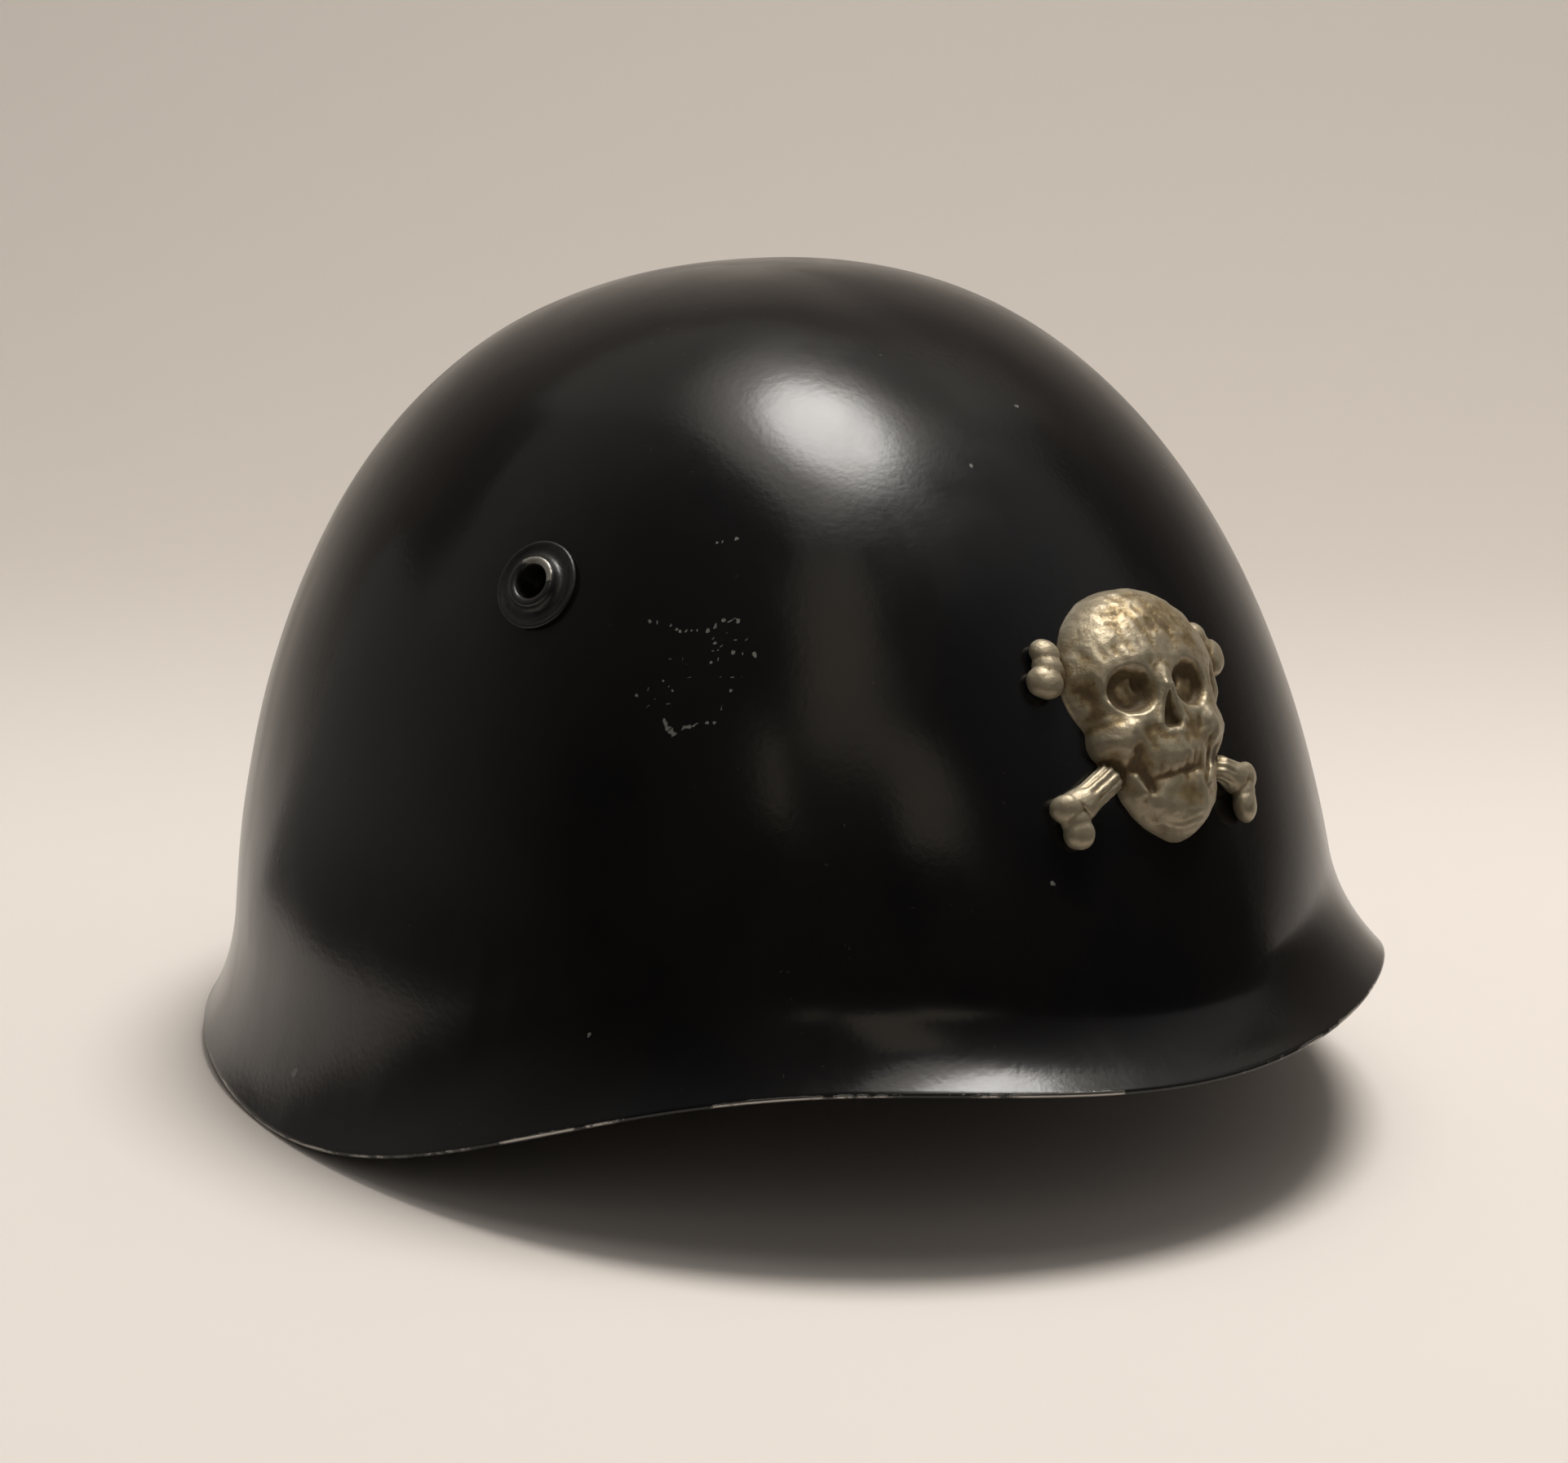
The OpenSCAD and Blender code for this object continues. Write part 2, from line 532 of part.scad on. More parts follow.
// Height share of a row: below 0 on the sweatband, 0 at the roots and 1 at the tips
function row_share(i) = i < SWEAT_ROWS ? i / SWEAT_ROWS - 1 : (i - SWEAT_ROWS) / TONGUE_ROWS;
function column_angle(j, v) = let (
        t = floor(j / TONGUE_COLUMNS), c = j % TONGUE_COLUMNS,
        share = lerp(tongue_root_share, tongue_tip_share, max(0, v)))
    tongue_pitch * (t + share * (c / (TONGUE_COLUMNS - 1) - 0.5));
// A point of the leather: side is 0 on the head's face and 1 on the outer face
function leather_point(u, v, side) = let (
        a = tongue_end * max(0, v),
        z = v < 0 ? lerp(tongue_root_z, sweat_z, -v) : tongue_root_z + tongue_rise * sin(a),
        grow = side * leather_t,
        slant = v < 0 ? 0 : sin(a))
    [(head_half_w * cos(a) + grow * (1 - slant)) * sin(u),
     -(head_half_l * cos(a) + grow * (1 - slant)) * cos(u),
     z + grow * slant];
function leather_index(i, j, side) = (side * (LEATHER_ROWS + 1) + i) * LEATHER_COLUMNS + j % LEATHER_COLUMNS;
function leather_has(i, j) = i >= 0 && i < LEATHER_ROWS
    && (i < SWEAT_ROWS || j % TONGUE_COLUMNS < TONGUE_COLUMNS - 1);
function quad(a, b, c, d) = [[a, b, c], [a, c, d]];
function leather_cell(i, j) = let (
        k = (j + 1) % LEATHER_COLUMNS, m = (j + LEATHER_COLUMNS - 1) % LEATHER_COLUMNS,
        p = function (r, c, s) leather_index(r, c, s))
    [each quad(p(i, j, 0), p(i, k, 0), p(i + 1, k, 0), p(i + 1, j, 0)),
     each quad(p(i, j, 1), p(i + 1, j, 1), p(i + 1, k, 1), p(i, k, 1)),
     each leather_has(i - 1, j) ? [] : quad(p(i, j, 0), p(i, j, 1), p(i, k, 1), p(i, k, 0)),
     each leather_has(i + 1, j) ? [] : quad(p(i + 1, j, 0), p(i + 1, k, 0), p(i + 1, k, 1), p(i + 1, j, 1)),
     each leather_has(i, m) ? [] : quad(p(i, j, 0), p(i + 1, j, 0), p(i + 1, j, 1), p(i, j, 1)),
     each leather_has(i, k) ? [] : quad(p(i, k, 0), p(i, k, 1), p(i + 1, k, 1), p(i + 1, k, 0))];
module leather_liner() color([0.36, 0.2, 0.1]) difference() {
    polyhedron(
        points = [for (side = [0, 1], i = [0 : LEATHER_ROWS], j = [0 : LEATHER_COLUMNS - 1])
            let (v = row_share(i)) leather_point(column_angle(j, v), v, side)],
        faces = [for (i = [0 : LEATHER_ROWS - 1], j = [0 : LEATHER_COLUMNS - 1])
            if (leather_has(i, j)) each leather_cell(i, j)]);
    liner_pins() rotate([0, 90, 0]) cylinder(d = pin_d + 2 * soft_gap, h = 40, center = true);
    for (t = [0 : tongue_count - 1]) translate(lace_point(tongue_pitch * t))
        cylinder(d = lace_hole_d, h = 12, center = true);
}

// The lace weaves up through each tongue's hole and down through the gap beside it
lace_share = 0.955;
function lace_point(u) = let (
        low = leather_point(u, lace_share, 0), high = leather_point(u, lace_share, 1))
    (low + high) / 2;
function lace_route(u) = lace_point(u) + [0, 0, lace_weave * sin(tongue_count * u)];
module crown_lace() color([0.55, 0.5, 0.38]) {
    count = tongue_count * LACE_STEPS;
    points = [for (i = [0 : count - 1]) let (
            u = 360 * i / count, p = lace_route(u),
            d = unit(lace_route(u + 1) - lace_route(u - 1)),
            across = unit(cross([0, 0, 1], d)), up = cross(d, across))
        for (j = [0 : LACE_SIDES - 1]) let (a = 360 * j / LACE_SIDES)
            p + lace_d / 2 * (cos(a) * across + sin(a) * up)];
    polyhedron(
        points = points,
        faces = [for (i = [0 : count - 1], j = [0 : LACE_SIDES - 1])
            let (n = LACE_SIDES, a = i * n + j, b = i * n + (j + 1) % n,
                c = (i + 1) % count * n + (j + 1) % n, d = (i + 1) % count * n + j)
            each quad(a, d, c, b)]);
}

// The chinstrap: it hangs from the bails, turns up under the leather and arches through the bowl
ear_x = head_half_w + band_outer;
strap_bar = [ear_x + bail_x, bail_z - bail_h];
strap_wrap_r = bail_wire_d / 2 + soft_gap;
bend_centre = [arch_half_w + strap_bend_r, strap_bar[1] + strap_bend_r];
double_t = 2 * strap_t + 0.2;
double_end_z = 30;
// The doubled end round a bail's bar, out to the upright side: the drawing's X is the helmet's X
module strap_end_2d() difference() {
    union() {
        translate(strap_bar) circle(r = strap_wrap_r + strap_t);
        polygon([
            strap_bar + [0, strap_wrap_r + strap_t], strap_bar + [-8, double_t / 2],
            strap_bar + [-8, -double_t / 2], strap_bar + [0, -strap_wrap_r - strap_t]
        ]);
        translate([bend_centre[0], strap_bar[1] - double_t / 2])
            square([strap_bar[0] - bend_centre[0] - 6, double_t]);
        translate(bend_centre) intersection() {
            difference() {
                circle(r = strap_bend_r + double_t / 2);
                circle(r = strap_bend_r - double_t / 2);
            }
            translate([-20, -20]) square(20);
        }
        translate([arch_half_w - double_t / 2, bend_centre[1]]) square([double_t, double_end_z - bend_centre[1]]);
    }
    translate(strap_bar) circle(r = strap_wrap_r);
}
function arch_point(a, out) = let (n = unit([cos(a) / arch_half_w, sin(a) / arch_rise]))
    [arch_half_w * cos(a), arch_z + arch_rise * sin(a)] + out * n;
module arch_2d(steps = 36) polygon([
    for (i = [0 : steps]) arch_point(180 * i / steps, strap_t / 2),
    for (i = [0 : steps]) arch_point(180 - 180 * i / steps, -strap_t / 2)
]);
// Distances inwards from the short strap's plane: round the buckle's fold, and lying on the short strap
buckle_fold_r = buckle_wire_d / 2 + soft_gap + strap_t;
over_fold = buckle_fold_r + soft_gap + strap_t / 2;
over_strap = double_t / 2 + soft_gap + strap_t / 2;
buckle_far_z = buckle_z + buckle_l;
buckle_far_in = strap_t / 2 + soft_gap + buckle_wire_d / 2;
fold_end_z = buckle_z - 12;
module long_strap_2d() {
    strap_end_2d();
    translate([arch_half_w - strap_t / 2, double_end_z - 1]) square([strap_t, arch_z - double_end_z + 1]);
    arch_2d();
    strip_2d([
        [-arch_half_w, arch_z], [-arch_half_w, buckle_far_z - 1],
        [-arch_half_w + over_fold, buckle_z + 2], [-arch_half_w + over_fold, buckle_z - 2],
        [-arch_half_w + over_strap, buckle_z - 8], [-arch_half_w + over_strap, strap_tip_z + strap_t / 2]
    ], strap_t);
}
module chinstrap_long() color([0.33, 0.2, 0.11]) difference() {
    upright(strap_w) long_strap_2d();
    strap_holes();
    prong_slot();
    for (s = [-1, 1]) translate([-arch_half_w + over_strap, s * strap_w / 2, strap_tip_z]) rotate([45, 0, 0])
        cube([4, 6, 6], center = true);
    rivet_spots(1, 0) cylinder(d = pin_d + 2 * hole_gap, h = 10, center = true);
}
module strap_holes() {
    for (z = [strap_tip_z + 10, buckle_z - 10]) translate([-arch_half_w + over_strap, 0, z]) rotate([0, 90, 0])
        cylinder(d = strap_hole_d, h = 2 * strap_t + 2, center = true, $fn = 24);
    for (i = [1 : 3]) {
        a = 180 - i * strap_hole_pitch / arch_rise * 57 * 0.9;
        p = arch_point(a, 0);
        n = unit([cos(a) / arch_half_w, sin(a) / arch_rise]);
        translate([p[0], 0, p[1]]) rotate([0, 90 - atan2(n[1], n[0]), 0])
            cylinder(d = strap_hole_d, h = 2 * strap_t, center = true, $fn = 24);
    }
}
// The hole that the prong stands in, worn long
prong_slot_w = prong_d + 1;
module prong_slot() translate([-arch_half_w + over_fold / 2, 0, buckle_z + buckle_l * 0.36])
    cube([over_fold + 6, prong_slot_w, buckle_l * 0.72], center = true);

module chinstrap_short() color([0.33, 0.2, 0.11]) difference() {
    upright(strap_w) difference() {
        union() {
            mirror([1, 0]) strap_end_2d();
            translate([-arch_half_w - strap_t / 2, double_end_z - 1]) square([strap_t, fold_end_z - double_end_z + 2]);
            translate([-arch_half_w - double_t / 2, fold_end_z]) square([double_t, buckle_z - fold_end_z - 5]);
            translate([-arch_half_w, 0]) polygon([
                [-double_t / 2, buckle_z - 6], [double_t / 2, buckle_z - 6],
                [buckle_fold_r, buckle_z], [-buckle_fold_r, buckle_z]
            ]);
            translate([-arch_half_w, buckle_z]) circle(r = buckle_fold_r);
        }
        translate([-arch_half_w, buckle_z]) circle(r = buckle_wire_d / 2 + soft_gap);
    }
    translate([-arch_half_w, 0, buckle_z + 1]) cube([12, prong_ring_w + 2 * soft_gap, 12], center = true);
    rivet_spots(-1, 0) cylinder(d = pin_d + 2 * hole_gap, h = 10, center = true);
    rivet_spots(-1, 1) cylinder(d = pin_d + 2 * hole_gap, h = 10, center = true);
}
// Children at the rivets of the doubled ends: which is 0 near the bail and 1 under the buckle's fold
module rivet_spots(side, which) for (y = [-3.5, 3.5])
    translate([side * arch_half_w, y, which == 0 ? double_end_z - 4 : fold_end_z + 3.6])
        rotate([0, 90, 0]) children();
module strap_rivet(head_h) {
    cylinder(d = pin_d, h = double_t + 2 * head_h, center = true);
    for (s = [-1, 1]) translate([0, 0, s * (double_t / 2 + seat_gap + head_h / 2)])
        cylinder(d = pin_head_d, h = head_h, center = true);
}
// The long strap lies against the inner face of the rivets that stand under it, so their heads are thin
module strap_rivets() color([0.62, 0.55, 0.33]) {
    rivet_spots(1, 0) strap_rivet(0.5);
    rivet_spots(-1, 0) strap_rivet(0.2);
    rivet_spots(-1, 1) strap_rivet(0.2);
}

buckle_half_w = strap_w / 2 + 1 + buckle_wire_d / 2;
prong_ring_w = 3;
// The frame leans inwards so that its far end passes inside the long strap
frame_lean = atan2(buckle_far_in, buckle_l);
frame_h = norm([buckle_far_in, buckle_l]);
module buckle_frame() color([0.5, 0.5, 0.48]) translate([-arch_half_w, 0, buckle_z]) rotate([0, frame_lean, 0])
    translate([0, 0, frame_h]) wire_loop(buckle_half_w, frame_h, buckle_wire_d, 2.2);

prong_ring_r = buckle_wire_d / 2 + running_gap;
prong_over = buckle_far_in + buckle_wire_d / 2 + seat_gap + prong_d / 2;
prong_foot = prong_ring_r + prong_d / 2;
prong_lean = atan2(prong_over - prong_foot, buckle_l);
module buckle_prong() color([0.52, 0.52, 0.5]) translate([-arch_half_w, 0, buckle_z]) difference() {
    union() {
        rotate([90, 0, 0]) cylinder(r = prong_ring_r + prong_d, h = prong_ring_w, center = true);
        translate([prong_foot, 0, 0]) rotate([0, prong_lean, 0]) {
            cylinder(d = prong_d, h = buckle_l + 1.6);
            translate([0, 0, buckle_l + 1.6]) sphere(d = prong_d);
        }
    }
    rotate([90, 0, 0]) cylinder(r = prong_ring_r, h = prong_ring_w + 2, center = true);
}

// The keeper: a leather loop round both straps
keeper_out = strap_t / 2 + soft_gap;
keeper_in = over_strap + strap_t / 2 + soft_gap;
module keeper_2d(grow) translate([-arch_half_w - keeper_out - grow, -strap_w / 2 - soft_gap - grow])
    square([keeper_out + keeper_in + 2 * grow, strap_w + 2 * soft_gap + 2 * grow]);
module strap_keeper() color([0.3, 0.18, 0.1]) translate([0, 0, keeper_z - keeper_w / 2]) linear_extrude(keeper_w)
    difference() {
        keeper_2d(keeper_t);
        keeper_2d(0);
    }

// The badge's own frame: +X the wearer's left, +Y up the shell, +Z out of it
module on_badge() on_shell(badge_angle, badge_z) rotate([0, 0, 90 - badge_roll]) children();
module studs_along() for (s = [-0.5, 0.5]) translate([0, s * stud_pitch, 0]) children();
// The badge is a relief over the shell: at each place its highest lump, cut down by the lowest hollow there.
// Lumps and hollows are rounds: [x, y, height of the middle, half width, half length, half depth].
case_y = skull_top - skull_half_w;
LUMPS = [
    // Brain case, bridge of the nose, upper jaw, lower jaw and chin
    [0, case_y, -1.3, skull_half_w, skull_half_w, badge_relief + 0.3],
    [0, case_y - skull_half_w * 0.1, 0, skull_half_w * 0.16, skull_half_w * 0.42, badge_relief],
    [0, -skull_chin * 0.22, 0, skull_half_w * 0.46, skull_chin * 0.34, badge_relief * 0.9],
    [0, -skull_chin * 0.5, 0, skull_half_w * 0.6, skull_chin * 0.5, badge_relief * 0.72],
    [0, -skull_chin * 0.76, 0, skull_half_w * 0.32, skull_chin * 0.2, badge_relief * 0.76],
    // Brows and cheekbones
    for (s = [-1, 1]) each [
        [s * skull_half_w * 0.37, case_y + skull_half_w * 0.28, 0, skull_half_w * 0.4, skull_half_w * 0.22,
            badge_relief * 0.97],
        [s * skull_half_w * 0.6, case_y - skull_half_w * 0.5, 0, skull_half_w * 0.3, skull_half_w * 0.25,
            badge_relief * 0.8]
    ]
];
HOLLOWS = [
    // Nose
    [0, case_y - skull_half_w * 0.24, badge_relief * 1.08, skull_half_w * 0.13, skull_half_w * 0.17, badge_relief * 0.4],
    // Eyes, temples and under the cheekbones
    for (s = [-1, 1]) each [
        [s * skull_half_w * 0.37, case_y, badge_relief * 1.1, skull_half_w * 0.27, skull_half_w * 0.235,
            badge_relief * 0.5],
        [s * skull_half_w * 0.82, case_y + skull_half_w * 0.1, badge_relief * 0.75, skull_half_w * 0.22,
            skull_half_w * 0.28, badge_relief * 0.38],
        [s * skull_half_w * 0.5, -skull_chin * 0.36, badge_relief * 0.75, skull_half_w * 0.14,
            skull_chin * 0.13, badge_relief * 0.35]
    ]
];
// Thickness of the badge at its outer edge, and its clearance from the shell
badge_edge_t = 1.2;
badge_lift = 5 * seat_gap;
bone_mid = bone_d * 0.33;
bone_l = norm([bones_w, bones_h]) / 2;
bone_dir = unit([bones_w, bones_h]);
knob_out = knob_d * 0.41;
function round_at(l, x, y) = 1 - pow((x - l[0]) / l[3], 2) - pow((y - l[1]) / l[4], 2);
// The four bones mirror each other, so only the one up to the left is drawn
function bones_at(x, y) = let (
        along = abs(x) * bone_dir[0] + abs(y) * bone_dir[1], off = abs(x) * bone_dir[1] - abs(y) * bone_dir[0],
        shaft = along < bone_l ? pow(bone_d / 2, 2) - off * off : -1,
        knob = pow(knob_d / 2, 2) - pow(along - bone_l, 2) - pow(abs(off) - knob_out, 2))
    max(shaft > 0 ? bone_mid + sqrt(shaft) : 0, knob > 0 ? bone_mid + sqrt(knob) : 0);
function lumps_at(x, y) = max([bones_at(x, y),
    for (l = LUMPS) let (q = round_at(l, x, y)) if (q > 0) l[2] + l[5] * sqrt(q)]);
function relief_at(x, y) = max(badge_edge_t, min([lumps_at(x, y),
    for (l = HOLLOWS) let (q = round_at(l, x, y)) if (q > 0) l[2] - l[5] * sqrt(q)]));
// How far the badge reaches along a ray from its middle, found in steps and then halved
function badge_reach(a) = let (r = max([for (r = [2 : 0.5 : 1.5 * skull_top]) if (lumps_at(r * cos(a), r * sin(a)) > 0) r]))
    halved(a, r, r + 0.5, 6);
function halved(a, low, high, steps) = steps == 0 ? low : let (m = (low + high) / 2)
    lumps_at(m * cos(a), m * sin(a)) > 0 ? halved(a, m, high, steps - 1) : halved(a, low, m, steps - 1);
// The shell's point under a place of the badge
badge_normal = normal_at(badge_angle, badge_z);
function badge_bed(x, y) = let (
        across = x * cos(badge_roll) + y * sin(badge_roll), up = y * cos(badge_roll) - x * sin(badge_roll),
        z = badge_z + up * norm([badge_normal[0], badge_normal[1]]),
        k = pow(1 - pow((z + rim_low) / crown_h, full_front), 1 / full_front))
    point_at(badge_angle + asin(across / (dome_half_w * k)), z);
BADGE_RAYS = 96;
BADGE_RINGS = 20;
BED_RINGS = 8;
module badge_relief_skin() {
    rays = [for (i = [0 : BADGE_RAYS - 1]) 360 * i / BADGE_RAYS];
    reaches = [for (a = rays) badge_reach(a)];
    places = function (rings) [for (j = [1 : rings], i = [0 : BADGE_RAYS - 1])
        reaches[i] * j / rings * [cos(rays[i]), sin(rays[i])]];
    tops = places(BADGE_RINGS);
    beds = places(BED_RINGS);
    first = len(tops);
    middle = first + len(beds);
    rim = (BADGE_RINGS - 1) * BADGE_RAYS;
    bed_rim = first + (BED_RINGS - 1) * BADGE_RAYS;
    polyhedron(
        points = [
            for (q = tops) badge_bed(q[0], q[1]) + relief_at(q[0], q[1]) * badge_normal,
            for (q = beds) badge_bed(q[0], q[1]) + badge_lift * badge_normal,
            badge_bed(0, 0) + relief_at(0, 0) * badge_normal,
            badge_bed(0, 0) + badge_lift * badge_normal
        ],
        faces = [
            each ring_faces(0, BADGE_RINGS, BADGE_RAYS, false),
            each ring_faces(first, BED_RINGS, BADGE_RAYS, true),
            for (i = [0 : BADGE_RAYS - 1]) let (k = (i + 1) % BADGE_RAYS)
                each [
                    [middle, k, i], [middle + 1, first + i, first + k],
                    [rim + i, rim + k, bed_rim + k], [rim + i, bed_rim + k, bed_rim + i]
                ]
        ]);
}
module badge() color([0.72, 0.65, 0.45]) difference() {
    badge_relief_skin();
    on_badge() studs_along() translate([0, 0, -20]) cylinder(d = stud_d + 2 * seat_gap, h = 20 + stud_bed + seat_gap);
}
stud_bed = 2.5;
stud_washer_t = 0.8;
stud_washer_top = -shell_t - skin_drop(badge_angle, badge_z, stud_pitch / 2 + stud_washer_d / 2);
stud_nut_top = stud_washer_top - stud_washer_t - seat_gap;
stud_end = stud_nut_top - stud_nut_h - 1.5;
module badge_studs() color([0.6, 0.5, 0.3]) on_badge() studs_along()
    translate([0, 0, stud_end]) cylinder(d = stud_d, h = stud_bed - stud_end);
module badge_washers() color([0.55, 0.55, 0.53]) on_badge() studs_along()
    translate([0, 0, stud_washer_top - stud_washer_t]) ring(stud_washer_d, stud_d + 2 * hole_gap, stud_washer_t);
module badge_nuts() color([0.6, 0.5, 0.3]) on_badge() studs_along()
    translate([0, 0, stud_nut_top - stud_nut_h]) difference() {
        cylinder(d = stud_nut_w / cos(30), h = stud_nut_h, $fn = 6);
        translate([0, 0, -1]) cylinder(d = stud_d + 2 * seat_gap, h = stud_nut_h + 2);
    }

shell();
vent_rivet_right();
vent_rivet_left();
vent_rivet_rear();
vent_washers();
hanger_right();
hanger_left();
hanger_rear();
hanger_rivets();
liner_band();
felt_pad();
leather_liner();
liner_rivets();
crown_lace();
lug_right();
lug_left();
lug_rivets();
bail_right();
bail_left();
chinstrap_long();
chinstrap_short();
strap_rivets();
buckle_frame();
buckle_prong();
strap_keeper();
badge();
badge_studs();
badge_washers();
badge_nuts();
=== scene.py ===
"""Steel helmet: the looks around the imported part. Its lengths are in millimetres, the studio's in metres."""
import json
import math

import bpy
import numpy as np
from mathutils import Matrix, Vector


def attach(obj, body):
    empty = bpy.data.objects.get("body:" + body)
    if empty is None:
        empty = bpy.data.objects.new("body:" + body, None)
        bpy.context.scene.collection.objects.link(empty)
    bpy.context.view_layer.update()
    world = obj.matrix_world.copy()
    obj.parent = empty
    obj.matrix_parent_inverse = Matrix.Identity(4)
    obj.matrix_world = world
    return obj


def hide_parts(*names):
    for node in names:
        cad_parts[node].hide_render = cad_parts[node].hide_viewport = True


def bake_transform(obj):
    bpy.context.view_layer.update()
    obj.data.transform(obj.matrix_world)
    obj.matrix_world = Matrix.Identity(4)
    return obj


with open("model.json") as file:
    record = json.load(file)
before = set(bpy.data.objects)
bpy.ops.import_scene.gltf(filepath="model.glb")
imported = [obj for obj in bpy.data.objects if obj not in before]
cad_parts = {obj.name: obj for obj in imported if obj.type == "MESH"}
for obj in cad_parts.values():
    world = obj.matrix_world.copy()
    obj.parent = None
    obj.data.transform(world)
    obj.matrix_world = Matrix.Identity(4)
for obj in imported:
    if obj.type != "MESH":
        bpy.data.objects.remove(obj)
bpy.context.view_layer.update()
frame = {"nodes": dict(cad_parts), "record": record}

MM = 0.001
IMAGE_W, IMAGE_H = 1922, 1793
SENSOR_W = 36
bpy.context.scene.view_settings.view_transform = "Standard"

# the shell's surface, as in the part's source
CROWN_H, DOME_FRONT, DOME_REAR, DOME_HALF_W, SHELL_T = 170.0, 133.0, 131.0, 110.5, 1.2
FULL = (1.9, 2.4, 2.2)
RIM = (32.5, 35.0, 23.0, 1.0, 1.0, 1.5, 0.0)
FLARE_W, FLARE_H, FLARE_CURL = (11.5, 6.5, 7.5), (13.0, 30.0, 21.0), 2.2
VENTS, VENT_Z = {"right": -74.0, "left": 74.0, "rear": 180.0}, 121.0


def three_way(values, u):
    front, side, rear = values
    c = np.cos(u)
    return side + (front - side) * np.maximum(0, c) ** 2 + (rear - side) * np.maximum(0, -c) ** 2


RIM_STEPS = len(RIM) - 1
HALF = [0.5 if i in (0, RIM_STEPS) else 1.0 for i in range(RIM_STEPS + 1)]
WAVES = [2 / RIM_STEPS * HALF[k] * sum(HALF[j] * RIM[j] * math.cos(math.pi * j * k / RIM_STEPS)
         for j in range(RIM_STEPS + 1)) for k in range(RIM_STEPS + 1)]


def rim_z(u):
    return sum(w * np.cos(k * u) for k, w in enumerate(WAVES))


def raw_skin(u, s):
    u, s = np.broadcast_arrays(np.asarray(u, float), np.asarray(s, float))
    c, sn = np.cos(u), np.sin(u)
    reach = np.where(c > 0, DOME_FRONT, DOME_REAR)
    full, low, height = three_way(FULL, u), rim_z(u), three_way(FLARE_H, u)
    a = np.arccos(((low + height) / CROWN_H) ** (full / 2)) * np.minimum(s, 1)
    k = np.sin(a) ** (2 / full)
    t = np.clip(s - 1, 0, 1)
    z = low + height * (1 - t)
    q = (1 - (np.maximum(z, 0) / CROWN_H) ** full) ** (1 / full)
    nx, ny = sn / DOME_HALF_W, -c / reach
    out = three_way(FLARE_W, u) * t ** FLARE_CURL / np.hypot(nx, ny)
    dome = np.stack([DOME_HALF_W * sn * k, -reach * c * k, CROWN_H * np.cos(a) ** (2 / full)], -1)
    flare = np.stack([DOME_HALF_W * sn * q + out * nx, -reach * c * q + out * ny, z], -1)
    return np.where((s <= 1)[..., None], dome, flare)


def unit(v):
    return v / np.linalg.norm(v, axis=-1, keepdims=True)


def skin_normal(u, s):
    e = math.radians(0.5)
    across = raw_skin(u + e, s) - raw_skin(u - e, s)
    down = raw_skin(u, np.maximum(0, s - 0.01)) - raw_skin(u, np.minimum(2, s + 0.01))
    return unit(np.cross(across, down))


MIDDLE_Y = float(raw_skin(0, 2)[1] + raw_skin(math.pi, 2)[1]) / 2
COARSE = np.radians(360 * np.arange(64) / 64)
RIM_LOW = float((raw_skin(COARSE, 2)[:, 2] - np.maximum(0, SHELL_T * skin_normal(COARSE, 2)[:, 2])).min())
SHIFT = np.array([0, MIDDLE_Y, RIM_LOW])


def skin(u, s):
    return raw_skin(u, s) - SHIFT


def share_at(u, z):
    full = three_way(FULL, u)
    end = np.arccos(((rim_z(u) + three_way(FLARE_H, u)) / CROWN_H) ** (full / 2))
    return np.arccos(((z + RIM_LOW) / CROWN_H) ** (full / 2)) / end


def point_at(u, z):
    return skin(u, share_at(u, z))


def normal_at(u, z):
    return skin_normal(u, share_at(u, z))


# small helpers
HOLE_STEPS, HOLE_REACH = 48, 8
BOX_FACES = [[0, 1, 3, 2], [4, 6, 7, 5], [0, 4, 5, 1], [2, 3, 7, 6], [0, 2, 6, 4], [1, 5, 7, 3]]


def lerp(a, b, t):
    return a + (b - a) * t


def smooth(t):
    t = np.clip(t, 0, 1)
    return t * t * (3 - 2 * t)


def waves(points, wavelength, count=10, seed=1):
    """A smooth random field between about -1 and 1, the same on every run."""
    g = np.random.default_rng(seed)
    d = unit(g.normal(size=(count, 3)))
    k = 2 * math.pi / (wavelength * g.uniform(0.7, 1.4, count))
    return np.cos(points @ (d * k[:, None]).T + g.uniform(0, 6.28, count)).sum(-1) / math.sqrt(count)


def grid_faces(rows, columns, closed=True, flip=False):
    """Quads over rings of points; closed joins each ring's last column to its first."""
    i, j = np.meshgrid(np.arange(rows - 1), np.arange(columns if closed else columns - 1), indexing="ij")
    k = (j + 1) % columns
    f = np.stack([i * columns + j, i * columns + k, (i + 1) * columns + k, (i + 1) * columns + j], -1)
    f = f.reshape(-1, 4)
    return f[:, ::-1] if flip else f


def fan_faces(rows, columns, flip=False):
    """Fans that close a grid's first and last ring, each with one of the two points after the grid."""
    n, faces = rows * columns, []
    for j in range(columns):
        k = (j + 1) % columns
        faces += [[n, j, k], [n + 1, n - columns + k, n - columns + j]]
    return [face[::-1] for face in faces] if flip else faces


def join_faces(rows, columns):
    """Quads that join a grid's last ring to its first."""
    last = (rows - 1) * columns
    return [[last + j, last + (j + 1) % columns, (j + 1) % columns, j] for j in range(columns)]


def end_faces(rows, columns):
    """Flat ends on a grid's first and last ring."""
    return [list(range(columns))[::-1], list(range((rows - 1) * columns, rows * columns))]


def run_along(p):
    """Each point's distance from the first, along the line."""
    return np.concatenate([[0], np.cumsum(np.linalg.norm(np.diff(p, axis=0), axis=1))])


